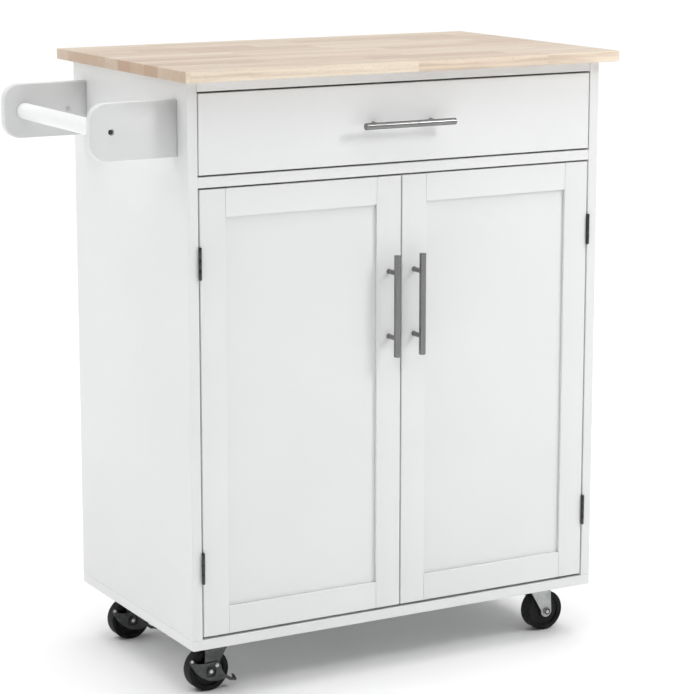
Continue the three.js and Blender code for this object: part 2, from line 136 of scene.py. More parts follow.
class Signal:
    """An output socket that maths can be written on."""

    def __init__(self, graph: "Graph", socket: bpy.types.NodeSocket) -> None:
        """Keeps the socket and the graph that its maths is added to."""
        self.graph = graph
        self.socket = socket

    def __add__(self, other: Value) -> "Signal":
        """Returns the sum."""
        return self.graph.maths("ADD", self, other)

    __radd__ = __add__

    def __sub__(self, other: Value) -> "Signal":
        """Returns this less the other."""
        return self.graph.maths("SUBTRACT", self, other)

    def __rsub__(self, other: Value) -> "Signal":
        """Returns the other less this."""
        return self.graph.maths("SUBTRACT", other, self)

    def __mul__(self, other: Value) -> "Signal":
        """Returns the product."""
        return self.graph.maths("MULTIPLY", self, other)

    __rmul__ = __mul__

    def __truediv__(self, other: Value) -> "Signal":
        """Returns this divided by the other."""
        return self.graph.maths("DIVIDE", self, other)

    def __rtruediv__(self, other: Value) -> "Signal":
        """Returns the other divided by this."""
        return self.graph.maths("DIVIDE", other, self)

    def __gt__(self, other: Value) -> "Signal":
        """Returns 1 where this is the greater."""
        return self.graph.maths("GREATER_THAN", self, other)

    def __lt__(self, other: Value) -> "Signal":
        """Returns 1 where this is the smaller."""
        return self.graph.maths("LESS_THAN", self, other)

    def __abs__(self) -> "Signal":
        """Returns the absolute value."""
        return self.graph.maths("ABSOLUTE", self)

    def most(self, other: Value) -> "Signal":
        """Returns the greater of the two."""
        return self.graph.maths("MAXIMUM", self, other)

    def least(self, other: Value) -> "Signal":
        """Returns the smaller of the two."""
        return self.graph.maths("MINIMUM", self, other)

    def span(self, low: float, high: float) -> "Signal":
        """Returns this carried from low..high to 0..1, and held there."""
        ends = {"From Min": low, "From Max": high, "Value": self}
        return self.graph.pick("ShaderNodeMapRange", {"clamp": True}, ends)

    def parts(self) -> list["Signal"]:
        """Returns a vector's three numbers."""
        made = self.graph.node("ShaderNodeSeparateXYZ", {}, {0: self})
        return [Signal(self.graph, socket) for socket in made.outputs]


class Graph:
    """A node tree that is being written."""

    LENGTHS: ClassVar[set[str]] = {"LENGTH", "DISTANCE", "DOT_PRODUCT"}

    def __init__(self, tree: bpy.types.NodeTree) -> None:
        """Keeps the tree that nodes are added to."""
        self.tree = tree

    def feed(self, socket: bpy.types.NodeSocket, value: Value) -> None:
        """Gives a socket its link or its value.

        Args:
            socket: The input to fill.
            value: A signal to link, or the value itself.
        """
        if isinstance(value, Signal):
            self.tree.links.new(value.socket, socket)
        elif socket.type == "VECTOR" and isinstance(value, (int, float)):
            socket.default_value = (value, value, value)
        elif socket.type == "RGBA" and len(value) == 3:
            socket.default_value = (*value, 1.0)
        else:
            socket.default_value = value

    def node(
        self,
        kind: str,
        settings: Mapping[str, object] | None = None,
        inputs: Mapping[int | str, Value] | None = None,
    ) -> bpy.types.Node:
        """Makes one node.

        Args:
            kind: The node's type.
            settings: Its properties, set first. "stops" are a ramp's places and colours.
            inputs: The values or links of its sockets, by name or number.

        Returns:
            The new node.
        """
        made = self.tree.nodes.new(kind)
        for name, value in (settings or {}).items():
            if name == "stops":
                self.set_stops(made.color_ramp, value)
            else:
                setattr(made, name, value)
        for key, value in (inputs or {}).items():
            self.feed(made.inputs[key], value)
        return made

    @staticmethod
    def set_stops(ramp: bpy.types.ColorRamp, stops: Sequence[tuple[float, Sequence[float]]]) -> None:
        """Writes a colour ramp's stops.

        Args:
            ramp: The ramp, which starts with two stops.
            stops: Each stop's place and colour, in order.
        """
        while len(ramp.elements) < len(stops):
            ramp.elements.new(0.5)
        for element, (place, colour) in zip(ramp.elements, stops):
            element.position = place
            element.color = (*colour, 1.0)

    def pick(
        self,
        kind: str,
        settings: Mapping[str, object] | None = None,
        inputs: Mapping[int | str, Value] | None = None,
        output: int | str = 0,
    ) -> Signal:
        """Makes one node and returns one of its outputs.

        Args:
            kind: The node's type.
            settings: Its properties.
            inputs: The values or links of its sockets.
            output: The output's name or number.

        Returns:
            That output.
        """
        return Signal(self, self.node(kind, settings, inputs).outputs[output])

    @staticmethod
    def is_vector(value: Value) -> bool:
        """Returns whether a value has several numbers."""
        if isinstance(value, Signal):
            return value.socket.type in {"VECTOR", "RGBA"}
        return hasattr(value, "__len__")

    def maths(self, operation: str, *values: Value) -> Signal:
        """Adds a Math node, or a Vector Math node where a value has three numbers.

        Args:
            operation: The node's operation.
            values: What it works on, in order.

        Returns:
            The result.
        """
        several = any(self.is_vector(value) for value in values)
        kind = "ShaderNodeVectorMath" if several else "ShaderNodeMath"
        output = 1 if several and operation in self.LENGTHS else 0
        return self.pick(kind, {"operation": operation}, dict(enumerate(values)), output)

    def vector(self, x: Value, y: Value, z: Value) -> Signal:
        """Returns three numbers as one vector."""
        return self.pick("ShaderNodeCombineXYZ", {}, {0: x, 1: y, 2: z})

    def mix(self, share: Value, first: Value, second: Value, blend: str = "MIX") -> Signal:
        """Mixes two colours.

        Args:
            share: How much of the second, from 0 to 1.
            first: The colour at 0.
            second: The colour at 1.
            blend: How they blend.

        Returns:
            The mixed colour.
        """
        settings = {"data_type": "RGBA", "blend_type": blend}
        return self.pick("ShaderNodeMix", settings, {0: share, 6: first, 7: second}, 2)

    def ramp(self, value: Value, stops: Sequence[tuple[float, Sequence[float]]]) -> Signal:
        """Returns a colour ramp read at a value."""
        return self.pick("ShaderNodeValToRGB", {"stops": stops}, {0: value})

    def noise(self, place: Signal, scale: float, detail: float = 2.0, roughness: float = 0.5) -> Signal:
        """Returns a noise of 0 to 1.

        Args:
            place: Where it is read.
            scale: Its spots to the metre, after any stretch of place.
            detail: How many finer layers it has.
            roughness: How strong they are.

        Returns:
            The noise.
        """
        inputs = {"Vector": place, "Scale": scale, "Detail": detail, "Roughness": roughness}
        return self.pick("ShaderNodeTexNoise", {}, inputs)

    def here(self) -> Signal:
        """Returns the place on the piece, in the cart's frame at rest."""
        return self.pick("ShaderNodeTexCoord", output="Object")

    def bump(self, height: Signal, depth: float, strength: float = 1.0) -> Signal:
        """Returns a normal that follows a height of 0 to 1, depth metres deep."""
        return self.pick("ShaderNodeBump", {}, {"Strength": strength, "Distance": depth, "Height": height})


@dataclass(frozen=True)
class Finish(ABC):
    """What a surface is made of: one material, made once."""

    name: str
    slot: str

    def material(self) -> bpy.types.Material:
        """Returns the material, which is made the first time that it is asked for."""
        found = bpy.data.materials.get(self.name)
        if found:
            return found
        made = bpy.data.materials.new(self.name)
        made.use_nodes = True
        made.node_tree.nodes.clear()
        graph = Graph(made.node_tree)
        shader = graph.pick("ShaderNodeBsdfPrincipled", {}, self.surface(graph))
        graph.node("ShaderNodeOutputMaterial", {}, {"Surface": shader})
        return made

    @abstractmethod
    def surface(self, graph: Graph) -> dict[str, Value]:
        """Adds the finish's nodes.

        Args:
            graph: The material's nodes.

        Returns:
            The shader's inputs.
        """


@dataclass(frozen=True)
class Rubberwood(Finish):
    """Oiled rubberwood staves: fibres, pores and growth rings along X, a tone to each stave, and painted
    light that brightens the faces facing front and back.
    """

    pale: tuple[float, float, float] = (0.685, 0.597, 0.508)
    middle: tuple[float, float, float] = (0.612, 0.520, 0.428)
    deep: tuple[float, float, float] = (0.487, 0.385, 0.308)
    pore: tuple[float, float, float] = (0.260, 0.165, 0.100)
    end_grain: tuple[float, float, float] = (0.550, 0.395, 0.275)
    # Painted light: multiplies the colour of the faces that face front and back, to brighten them.
    side_grain: tuple[float, float, float] = (1.280, 1.285, 1.260)
    tints: tuple[tuple[float, tuple[float, float, float]], ...] = (
        (0.0, (0.89, 0.84, 0.83)),
        (0.3, (0.96, 0.93, 0.91)),
        (0.6, (1.00, 1.00, 0.98)),
        (1.0, (1.04, 1.04, 1.04)),
    )
    stretch: tuple[tuple[float, float, float], ...] = (
        (3.2, 60.0, 60.0),
        (16.0, 620.0, 620.0),
        (150.0, 2300.0, 2300.0),
    )
    shares: tuple[float, float, float] = (0.55, 0.3, 0.15)
    apart: float = 7.3
    stops: tuple[float, float, float] = (0.34, 0.5, 0.66)
    pore_span: tuple[float, float] = (0.66, 0.74)
    pore_share: float = 0.45
    facing_span: tuple[float, float] = (0.8, 0.95)
    end_shares: tuple[float, float, float] = (0.85, 0.55, 0.25)
    gloss: float = 0.48
    oil: tuple[float, float] = (0.1, 0.42)
    ring: float = 5.5 * MM
    pith: float = 0.16
    pore_depth: float = 0.12 * MM

    def surface(self, graph: Graph) -> dict[str, Value]:
        """Adds the wood's nodes.

        Args:
            graph: The material's nodes.

        Returns:
            The shader's inputs.
        """
        here = graph.here()
        seed = graph.pick("ShaderNodeAttribute", {"attribute_name": StaveLayup.TONE}, output="Vector")
        tone, hue, turn = seed.parts()
        place = here + seed * self.apart
        broad, fine, finest = self.stretch
        figure = graph.noise(place * broad, 1.0, detail=3.0, roughness=0.55)
        fibre = graph.noise(place * fine, 1.0, detail=4.0, roughness=0.65)
        _, across, up = here.parts()
        across = across + (hue - 0.5) * (2 * self.pith) + (figure - 0.5) * (3 * self.ring)
        up = up - CAD_BOX[1].z + (turn - 0.5) * (2 * self.pith)
        radius = graph.maths("LENGTH", graph.vector(0.0, across, up))
        rings = graph.maths("SINE", radius * (math.tau / self.ring)) * 0.5 + 0.5
        pores = graph.noise(place * finest, 1.0, detail=1.0).span(*self.pore_span)
        grain = figure * self.shares[0] + fibre * self.shares[1] + rings * self.shares[2]
        colour = graph.ramp(grain, list(zip(self.stops, (self.deep, self.middle, self.pale))))
        facing = graph.pick("ShaderNodeTexCoord", output="Normal").parts()
        end, side = (abs(part).span(*self.facing_span) for part in facing[:2])
        whole, by_tone, by_ring = self.end_shares
        colour = graph.mix(end * (whole - tone * by_tone + rings * by_ring), colour, self.end_grain)
        # Painted light: the faces that face front and back are brightened by a fixed multiplier.
        colour = graph.mix(side, colour, graph.maths("MULTIPLY", colour, self.side_grain))
        colour = graph.mix(1.0, colour, graph.ramp(tone, self.tints), "MULTIPLY")
        colour = graph.mix(pores * self.pore_share, colour, self.pore)
        return {
            "Base Color": colour,
            "Roughness": self.gloss + fibre * 0.12 + pores * 0.15,
            "Coat Weight": self.oil[0],
            "Coat Roughness": self.oil[1],
            "Normal": graph.bump(fibre * 0.6 - pores, self.pore_depth, strength=0.5),
        }


@dataclass(frozen=True)
class Paint(Finish):
    """Sprayed paint on board: a faint orange peel, and a little unevenness in its gloss."""

    colour: tuple[float, float, float] = (0.812, 0.819, 0.818)
    shade: tuple[float, float, float] = (0.797, 0.805, 0.804)
    gloss: float = 0.36
    peel: float = 0.035 * MM

    def surface(self, graph: Graph) -> dict[str, Value]:
        """Adds the paint's nodes.

        Args:
            graph: The material's nodes.

        Returns:
            The shader's inputs.
        """
        here = graph.here()
        cloud = graph.noise(here, scale=6.0, detail=3.0)
        peel = graph.noise(here, scale=420.0)
        return {
            "Base Color": graph.mix(cloud.span(0.35, 0.7), self.colour, self.shade),
            "Roughness": self.gloss + cloud * 0.08 + peel * 0.05,
            "Normal": graph.bump(peel, self.peel),
        }


@dataclass(frozen=True)
class BrushedSteel(Finish):
    """Steel brushed along one axis."""

    along: Axis = Axis.Z
    colour: tuple[float, float, float] = (0.290, 0.290, 0.288)
    streak: tuple[float, float, float] = (0.160, 0.160, 0.159)
    stretch: tuple[float, float] = (25.0, 3200.0)
    gloss: float = 0.16
    depth: float = 0.02 * MM

    def surface(self, graph: Graph) -> dict[str, Value]:
        """Adds the metal's nodes.

        Args:
            graph: The material's nodes.

        Returns:
            The shader's inputs.
        """
        along, across = self.stretch
        stretch = [along if part else across for part in self.along.value]
        brushing = graph.noise(graph.here() * stretch, 1.0, detail=3.0, roughness=0.6)
        return {
            "Base Color": graph.mix(brushing.span(0.35, 0.7), self.streak, self.colour),
            "Metallic": 1.0,
            "Roughness": self.gloss + brushing * 0.14,
            "Normal": graph.bump(brushing, self.depth, strength=0.6),
        }


@dataclass(frozen=True)
class Plating(Finish):
    """Plated sheet steel: cloudy, with a fine satin grain."""

    colour: tuple[float, float, float] = (0.50, 0.51, 0.515)
    cloud: tuple[float, float, float] = (0.36, 0.368, 0.372)
    gloss: float = 0.30
    depth: float = 0.02 * MM

    def surface(self, graph: Graph) -> dict[str, Value]:
        """Adds the plating's nodes.

        Args:
            graph: The material's nodes.

        Returns:
            The shader's inputs.
        """
        here = graph.here()
        cloud = graph.noise(here, scale=90.0, detail=4.0, roughness=0.6)
        grain = graph.noise(here, scale=1700.0)
        return {
            "Base Color": graph.mix(cloud.span(0.35, 0.65), self.cloud, self.colour),
            "Metallic": 1.0,
            "Roughness": self.gloss + cloud * 0.16 + grain * 0.06,
            "Normal": graph.bump(grain, self.depth, strength=0.5),
        }


@dataclass(frozen=True)
class WheelBlack(Finish):
    """Moulded black wheel: glossy at its side, and matt with dust on its tread."""

    colour: tuple[float, float, float] = (0.0035, 0.0035, 0.0037)
    dust: tuple[float, float, float] = (0.045, 0.043, 0.041)
    gloss: float = 0.24
    shine: float = 0.2
    depth: float = 0.04 * MM

    def surface(self, graph: Graph) -> dict[str, Value]:
        """Adds the wheel's nodes.

        Args:
            graph: The material's nodes.

        Returns:
            The shader's inputs.
        """
        here = graph.here()
        tread = graph.pick("ShaderNodeAttribute", {"attribute_name": Wheel.TREAD}, output="Fac")
        scuff = graph.noise(here, scale=260.0, detail=4.0, roughness=0.65)
        dust = tread * scuff.span(0.42, 0.7)
        return {
            "Base Color": graph.mix(dust * 0.5, self.colour, self.dust),
            "Roughness": self.gloss + tread * 0.3 + scuff * 0.12,
            "Specular IOR Level": self.shine,
            "Normal": graph.bump(scuff, self.depth, strength=0.5),
        }


@dataclass(frozen=True)
class Plastic(Finish):
    """Moulded plastic with a fine spark texture."""

    colour: tuple[float, float, float] = (0.045, 0.045, 0.047)
    gloss: float = 0.5
    lift: float = 1.25
    depth: float = 0.03 * MM

    def surface(self, graph: Graph) -> dict[str, Value]:
        """Adds the plastic's nodes.

        Args:
            graph: The material's nodes.

        Returns:
            The shader's inputs.
        """
        spark = graph.noise(graph.here(), scale=2200.0)
        return {
            "Base Color": graph.mix(spark, self.colour, [self.lift * part for part in self.colour]),
            "Roughness": self.gloss + spark * 0.15,
            "Normal": graph.bump(spark, self.depth),
        }


@dataclass(frozen=True)
class FloorCoat(Finish):
    """A plain pale floor."""

    colour: tuple[float, float, float] = (0.93, 0.93, 0.93)
    gloss: float = 0.6

    def surface(self, graph: Graph) -> dict[str, Value]:
        """Adds the floor's nodes.

        Args:
            graph: The material's nodes.

        Returns:
            The shader's inputs.
        """
        cloud = graph.noise(graph.here(), scale=40.0)
        return {"Base Color": self.colour, "Roughness": self.gloss + cloud * 0.1}


WOOD = Rubberwood("rubberwood_staves", "butcher_block")
SATIN = Paint("satin_white", "white_paint")
GLOSSY = Paint(
    "glossy_white",
    "white_paint",
    colour=(0.875, 0.882, 0.880),
    shade=(0.860, 0.868, 0.866),
    gloss=0.24,
    peel=0.004 * MM,
)
# Painted shade: a darker copy of the white paint for the towel brackets, standing in for the shade that
# falls on them.
SHADED_BRACKET_WHITE = Paint(
    "bracket_white",
    "white_paint",
    colour=(0.722, 0.729, 0.729),
    shade=(0.708, 0.715, 0.715),
    gloss=0.32,
)
STEEL_ACROSS = BrushedSteel("brushed_steel_across", "brushed_steel", Axis.X)
STEEL_UPRIGHT = BrushedSteel("brushed_steel_upright", "brushed_steel", Axis.Z)
ZINC = Plating("bright_zinc", "zinc")
BLACK = Plating(
    "black_oxide", "dark_steel", colour=(0.085, 0.085, 0.086), cloud=(0.05, 0.05, 0.05), gloss=0.2
)
DARK = Plating(
    "dark_satin_plating",
    "dark_steel",
    colour=(0.118, 0.121, 0.122),
    cloud=(0.07, 0.071, 0.072),
    gloss=0.34,
)
RIVET = Plating("bright_rivet", "zinc", colour=(0.72, 0.72, 0.71), cloud=(0.55, 0.55, 0.545), gloss=0.2)
TYRE = WheelBlack("wheel_black", "black_wheel")
MOULDING = Plastic("dark_moulding", "dark_plastic")
FINISHES = {
    "butcher_block": WOOD,
    "white_paint": SATIN,
    "brushed_steel": STEEL_UPRIGHT,
    "dark_steel": DARK,
    "zinc": ZINC,
    "black_wheel": TYRE,
    "dark_plastic": MOULDING,
}


def hand_in(
    name: str, mesh: bpy.types.Mesh, finish: Finish, body: str, *stands_for: str
) -> bpy.types.Object:
    """Adds a finished piece to the cart.

    Args:
        name: The piece's name.
        mesh: Its mesh, in the cart's frame.
        finish: What it is made of.
        body: The body that it rides on.
        stands_for: The model's nodes that it is shown in place of.

    Returns:
        The piece.
    """
    piece = bpy.data.objects.new(name, mesh)
    mesh.name = name
    bpy.context.scene.collection.objects.link(piece)
    mesh.materials.clear()
    mesh.materials.append(finish.material())
    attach(piece, body)
    if stands_for:
        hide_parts(*stands_for)
    log.info("%s: %d faces, %s, rides on %s", name, len(mesh.polygons), finish.name, body)
    return piece


def body_of(node: str) -> str:
    """Returns the body that a model's node rides on."""
    return frame["nodes"][node]["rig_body"]


def evaluated(mesh: bpy.types.Mesh, add: Callable[[bpy.types.Object], None]) -> bpy.types.Mesh:
    """Puts modifiers on a mesh and applies them.

    Args:
        mesh: The mesh to start from.
        add: Adds the modifiers to an object that holds it.

    Returns:
        A plain mesh of the result.
    """
    holder = bpy.data.objects.new("holder", mesh)
    bpy.context.scene.collection.objects.link(holder)
    add(holder)
    shown = bpy.context.evaluated_depsgraph_get()
    made = bpy.data.meshes.new_from_object(
        holder.evaluated_get(shown), preserve_all_data_layers=True, depsgraph=shown
    )
    bpy.data.objects.remove(holder)
    return made


def ease(mesh: bpy.types.Mesh, width: float, segments: int = 3, by_weight: bool = False) -> bpy.types.Mesh:
    """Rounds a mesh's sharp edges and shades it smooth.

    Args:
        mesh: A closed mesh with its corners merged.
        width: How far the rounding reaches from an edge.
        segments: How many faces go round it.
        by_weight: Whether the width is scaled by each edge's bevel weight.

    Returns:
        The eased mesh.
    """

    def add(holder: bpy.types.Object) -> None:
        """Adds the bevel to the object that holds the mesh."""
        bevel = holder.modifiers.new("eased_edges", "BEVEL")
        bevel.width = width
        bevel.segments = segments
        bevel.limit_method = "WEIGHT" if by_weight else "ANGLE"
        bevel.angle_limit = EASED_CORNER
        bevel.harden_normals = True
        bevel.use_clamp_overlap = True

    mesh.shade_smooth()
    return evaluated(mesh, add)


def merged_copy(node: str) -> bmesh.types.BMesh:
    """Copies a model's node with its triangles joined into whole faces.

    Args:
        node: The node's name.

    Returns:
        The copy, to be freed by the caller.
    """
    shape = bmesh.new()
    shape.from_mesh(frame["nodes"][node].data)
    bmesh.ops.remove_doubles(shape, verts=shape.verts, dist=MERGE)
    bmesh.ops.dissolve_limit(shape, angle_limit=SAME_FACE, verts=shape.verts, edges=shape.edges)
    return shape


def to_mesh(shape: bmesh.types.BMesh, name: str) -> bpy.types.Mesh:
    """Turns a working shape into a mesh and frees it."""
    mesh = bpy.data.meshes.new(name)
    shape.to_mesh(mesh)
    shape.free()
    return mesh


def eased_node(
    node: str, width: float, finish: Finish | None = None, segments: int = 3, suffix: str = "eased"
) -> bpy.types.Object:
    """Shows a model's node with its edges eased.

    Args:
        node: The node's name.
        width: How far the rounding reaches.
        finish: Its finish, where it isn't its slot's own.
        segments: How many faces go round an edge.
        suffix: What the piece's name ends in.

    Returns:
        The piece.
    """
    mesh = ease(to_mesh(merged_copy(node), node), width, segments)
    return hand_in(f"{node}_{suffix}", mesh, finish or FINISHES[SLOTS[node]], body_of(node), node)


class Turning:
    """Turned shapes in one mesh. A profile is radii and heights, from one end to the other."""

    def __init__(self, sides: int = 40) -> None:
        """Starts with nothing turned."""
        self.sides = sides
        self.shape = bmesh.new()

    def add(self, profile: Profile, centre: Vector, axis: Axis = Axis.Z, closed: bool = False) -> "Turning":
        """Turns one profile.

        Args:
            profile: Radius and height of each point. It starts and ends on the axis, or closes on itself.
            centre: Where height 0 lies.
            axis: The direction that height runs in.
            closed: Whether the last point joins the first.

        Returns:
            This, so that more can be added.
        """
        place = Matrix.Translation(centre) @ axis.turn()
        rings = [self.ring(radius, height, place) for radius, height in profile]
        pairs = list(zip(rings, rings[1:])) + ([(rings[-1], rings[0])] if closed else [])
        made = [face for low, high in pairs for face in self.band(low, high)]
        bmesh.ops.recalc_face_normals(self.shape, faces=made)
        return self

    def ring(self, radius: float, height: float, place: Matrix) -> list[bmesh.types.BMVert]:
        """Makes one ring of corners, or a single one on the axis.

        Args:
            radius: The ring's radius.
            height: Its height along the axis.
            place: Where the turning stands.

        Returns:
            Its corners.
        """
        if radius < MERGE:
            return [self.shape.verts.new(place @ Vector((0.0, 0.0, height)))]
        angles = (math.tau * number / self.sides for number in range(self.sides))
        points = (Vector((radius * math.cos(a), radius * math.sin(a), height)) for a in angles)
        return [self.shape.verts.new(place @ point) for point in points]

    def band(
        self, low: list[bmesh.types.BMVert], high: list[bmesh.types.BMVert]
    ) -> list[bmesh.types.BMFace]:
        """Makes the faces between two rings.

        Args:
            low: The first ring.
            high: The second ring.

        Returns:
            The faces.
        """
        count = max(len(low), len(high))
        made = []
        for number in range(count):
            after = number + 1
            outline = [(low, number), (low, after), (high, after), (high, number)]
            corners = dict.fromkeys(ring[place % len(ring)] for ring, place in outline)
            made.append(self.shape.faces.new(list(corners)))
        return made

    def mesh(self, sharp: float = 40.0) -> bpy.types.Mesh:
        """Returns the mesh, smooth but for edges sharper than that many degrees."""
        made = to_mesh(self.shape, "turning")
        made.shade_smooth()
        made.set_sharp_from_angle(angle=math.radians(sharp))
        return made


def arc(centre: tuple[float, float], radius: float, start: float, end: float, steps: int = 5) -> Profile:
    """Points round part of a circle, for a profile.

    Args:
        centre: Its middle, as radius and height.
        radius: The circle's radius.
        start: The first point's angle in degrees, from outwards towards up.
        end: The last point's.
        steps: How many stretches it has.

    Returns:
        The points.
    """
    turns = (math.radians(start + (end - start) * step / steps) for step in range(steps + 1))
    return [(centre[0] + radius * math.cos(turn), centre[1] + radius * math.sin(turn)) for turn in turns]


def bar_profile(radius: float, length: float, edge: float) -> Profile:
    """A round bar's profile, with its ends eased and a ring by each that keeps its side's shading even.

    Args:
        radius: The bar's radius.
        length: Its length, from height 0.
        edge: The radius of its end edges.

    Returns:
        The profile.
    """
    low = arc((radius - edge, edge), edge, -90, 0, steps=3)
    high = arc((radius - edge, length - edge), edge, 0, 90, steps=3)
    held = [(radius, HELD_BY_END * edge), (radius, length - HELD_BY_END * edge)]
    return [(0.0, 0.0), *low, *held, *high, (0.0, length)]


@dataclass(frozen=True)
class Recipe(ABC):
    """A Geometry Nodes tree, run once. Each of the dataclass's number and vector fields is a named input of
    the tree.
    """

    SOCKETS: ClassVar[dict[type, str]] = {
        float: "NodeSocketFloat",
        int: "NodeSocketInt",
        tuple: "NodeSocketVector",
    }

    def mesh(self, finish: Finish, source: bpy.types.Mesh | None = None) -> bpy.types.Mesh:
        """Writes the tree, runs it and makes its result a plain mesh.

        Args:
            finish: The finish that the tree gives its faces.
            source: The mesh that the tree starts from, if it needs one.

        Returns:
            The mesh.
        """
        tree = bpy.data.node_groups.new(type(self).__name__, "GeometryNodeTree")
        graph = Graph(tree)
        face = tree.interface
        face.new_socket(name="Source", in_out="INPUT", socket_type="NodeSocketGeometry")
        values = {entry.name: getattr(self, entry.name) for entry in fields(self)}
        values = {name: value for name, value in values.items() if type(value) in self.SOCKETS}
        sockets = {
            name: face.new_socket(name=name, in_out="INPUT", socket_type=self.SOCKETS[type(value)])
            for name, value in values.items()
        }
        coat = face.new_socket(name="finish", in_out="INPUT", socket_type="NodeSocketMaterial")
        face.new_socket(name="Mesh", in_out="OUTPUT", socket_type="NodeSocketGeometry")
        given = {socket.name: Signal(graph, socket) for socket in graph.node("NodeGroupInput").outputs}
        real = graph.pick("GeometryNodeRealizeInstances", {}, {0: self.write(graph, given)})
        coated = graph.pick("GeometryNodeSetMaterial", {}, {"Geometry": real, "Material": given["finish"]})
        graph.node("NodeGroupOutput", {}, {0: coated})

        def add(holder: bpy.types.Object) -> None:
            """Adds the tree to the object that holds the source."""
            nodes = holder.modifiers.new(tree.name, "NODES")
            nodes.node_group = tree
            for name, socket in sockets.items():
                nodes[socket.identifier] = values[name]
            nodes[coat.identifier] = finish.material()

        return evaluated(source or bpy.data.meshes.new("nothing"), add)

    @abstractmethod
    def write(self, graph: Graph, given: Mapping[str, Signal]) -> Signal:
        """Adds the recipe's own nodes.

        Args:
            graph: The tree.
            given: The tree's inputs by name.

        Returns:
            The geometry, whose instances may still be instances.
        """


@dataclass(frozen=True)
class StaveLayup(Recipe):
    """Staves glued side by side and end to end into one board, each with its own tone."""

    TONE: ClassVar[str] = "stave_tone"
    ROUND_SHARE: ClassVar[float] = 1 - math.sqrt(0.5)
    PHASES: ClassVar[tuple[float, float]] = (0.22, 0.78)
    WANDER: ClassVar[float] = 0.16
    ROW_STEP: ClassVar[float] = 17.0
    BLOCK_CORNERS: ClassVar[int] = 4
    BLOCK_FACE: ClassVar[float] = 0.4

    low: tuple[float, float, float]
    size: tuple[float, float, float]
    rows: int = 10
    staves: int = 4
    corner_piece: float = 7 * MM
    front_phase: float = 0.44
    seam_edge: float = 0.16 * MM
    outer_edge: float = 1.1 * MM
    glue_line: float = 0.02 * MM
    seed: int = 11

    def random(self, graph: Graph, number: Signal, seed: Signal, low: float, high: float) -> Signal:
        """Returns a number from low to high that is drawn for a whole number and a seed."""
        return graph.pick("FunctionNodeRandomValue", {}, {2: low, 3: high, "ID": number, "Seed": seed}, 1)

    def write(self, graph: Graph, given: Mapping[str, Signal]) -> Signal:
        """Lays the staves out as points and makes each a box with eased edges.

        Args:
            graph: The tree.
            given: The tree's inputs by name.

        Returns:
            The staves.
        """
        index = graph.pick("GeometryNodeInputIndex")
        row = graph.maths("FLOOR", (index + 0.5) / given["staves"])
        column = index - row * given["staves"]
        length, depth, thickness = given["size"].parts()
        pitch = length / (given["staves"] - 1.0)
        phase = self.random(graph, row, given["seed"], *self.PHASES)
        phase = phase + (row < 0.5) * (given["front_phase"] - phase)

        def joint(number: Signal) -> Signal:
            """Returns where a row's joint lies along it. The front row starts with a short piece."""
            drawn_for = row * self.ROW_STEP + number
            draw = self.random(graph, drawn_for, given["seed"] + 1.0, -self.WANDER, self.WANDER)
            place = ((number - 1.0 + phase + draw) * pitch).most(0.0).least(length)
            first = (row < 0.5) * (abs(number - 1.0) < 0.5)
            return place + first * (given["corner_piece"] - place)

        start, end = joint(column), joint(column + 1.0)
        width = depth / given["rows"]
        half_line = given["glue_line"] * 0.5
        left, right = start < MERGE, end > (length - MERGE)
        front, back = row < 0.5, row > (given["rows"] - 1.5)
        near = row * width + (1 - front) * half_line
        far = (row + 1.0) * width - (1 - back) * half_line
        low = graph.vector(start + (1 - left) * half_line, near, 0.0)
        high = graph.vector(end - (1 - right) * half_line, far, thickness)
        draw = {"ID": index, "Seed": given["seed"]}
        marks = {
            "stave_low": low + given["low"],
            "stave_high": high + given["low"],
            "outer_low": graph.vector(left, front, 1.0),
            "outer_high": graph.vector(right, back, 1.0),
            self.TONE: graph.pick("FunctionNodeRandomValue", VECTORS, draw),
        }
        staves = graph.pick("GeometryNodePoints", {}, {"Count": given["rows"] * given["staves"]})
        for name, value in marks.items():
            staves = self.store(graph, staves, name, value)
        corners = dict.fromkeys(("Vertices X", "Vertices Y", "Vertices Z"), self.BLOCK_CORNERS)
        block = graph.pick("GeometryNodeMeshCube", {}, corners)
        staves = graph.pick("GeometryNodeInstanceOnPoints", {}, {"Points": staves, "Instance": block})
        staves = graph.pick("GeometryNodeRealizeInstances", {}, {0: staves})
        placed = {"Geometry": staves, "Position": self.shape(graph, given)}
        staves = graph.pick("GeometryNodeSetPosition", {}, placed)
        for name in set(marks) - {self.TONE}:
            staves = graph.pick("GeometryNodeRemoveAttribute", {}, {"Geometry": staves, "Name": name})
        return staves

    @staticmethod
    def store(graph: Graph, geometry: Signal, name: str, value: Signal) -> Signal:
        """Returns the geometry with a vector kept on each point."""
        inputs = {"Geometry": geometry, "Name": name, "Value": value}
        return graph.pick("GeometryNodeStoreNamedAttribute", VECTORS, inputs)

    def shape(self, graph: Graph, given: Mapping[str, Signal]) -> Signal:
        """Carries a unit block's corners to a stave's own, with its edges rounded.

        Args:
            graph: The tree.
            given: The tree's inputs by name.

        Returns:
            Where each point goes.
        """

        def kept(name: str) -> list[Signal]:
            """Returns the three numbers of a vector kept on the points."""
            return graph.pick("GeometryNodeInputNamedAttribute", VECTORS, {"Name": name}).parts()

        def chosen(name: str) -> list[Signal]:
            """Returns the low or the high one of a kept pair's numbers, as the corner lies."""
            ends = zip(kept(f"{name}_low"), kept(f"{name}_high"), upper)
            return [low + up * (high - low) for low, high, up in ends]

        unit = graph.pick("GeometryNodeInputPosition").parts()
        upper = [part > 0.0 for part in unit]
        at_face = [abs(part) > self.BLOCK_FACE for part in unit]
        face, outer = chosen("stave"), chosen("outer")
        rise = given["outer_edge"] - given["seam_edge"]
        placed = []
        for own in range(3):
            others = [axis for axis in range(3) if axis != own]
            edges = [given["seam_edge"] + rise * outer[own] * outer[axis] for axis in others]
            reach = [at_face[axis] * edge for axis, edge in zip(others, edges)]
            inset = reach[0].most(reach[1]) * (1 - at_face[own] * (1 - self.ROUND_SHARE))
            placed.append(face[own] + (1 - upper[own] * 2.0) * inset)
        return graph.vector(*placed)


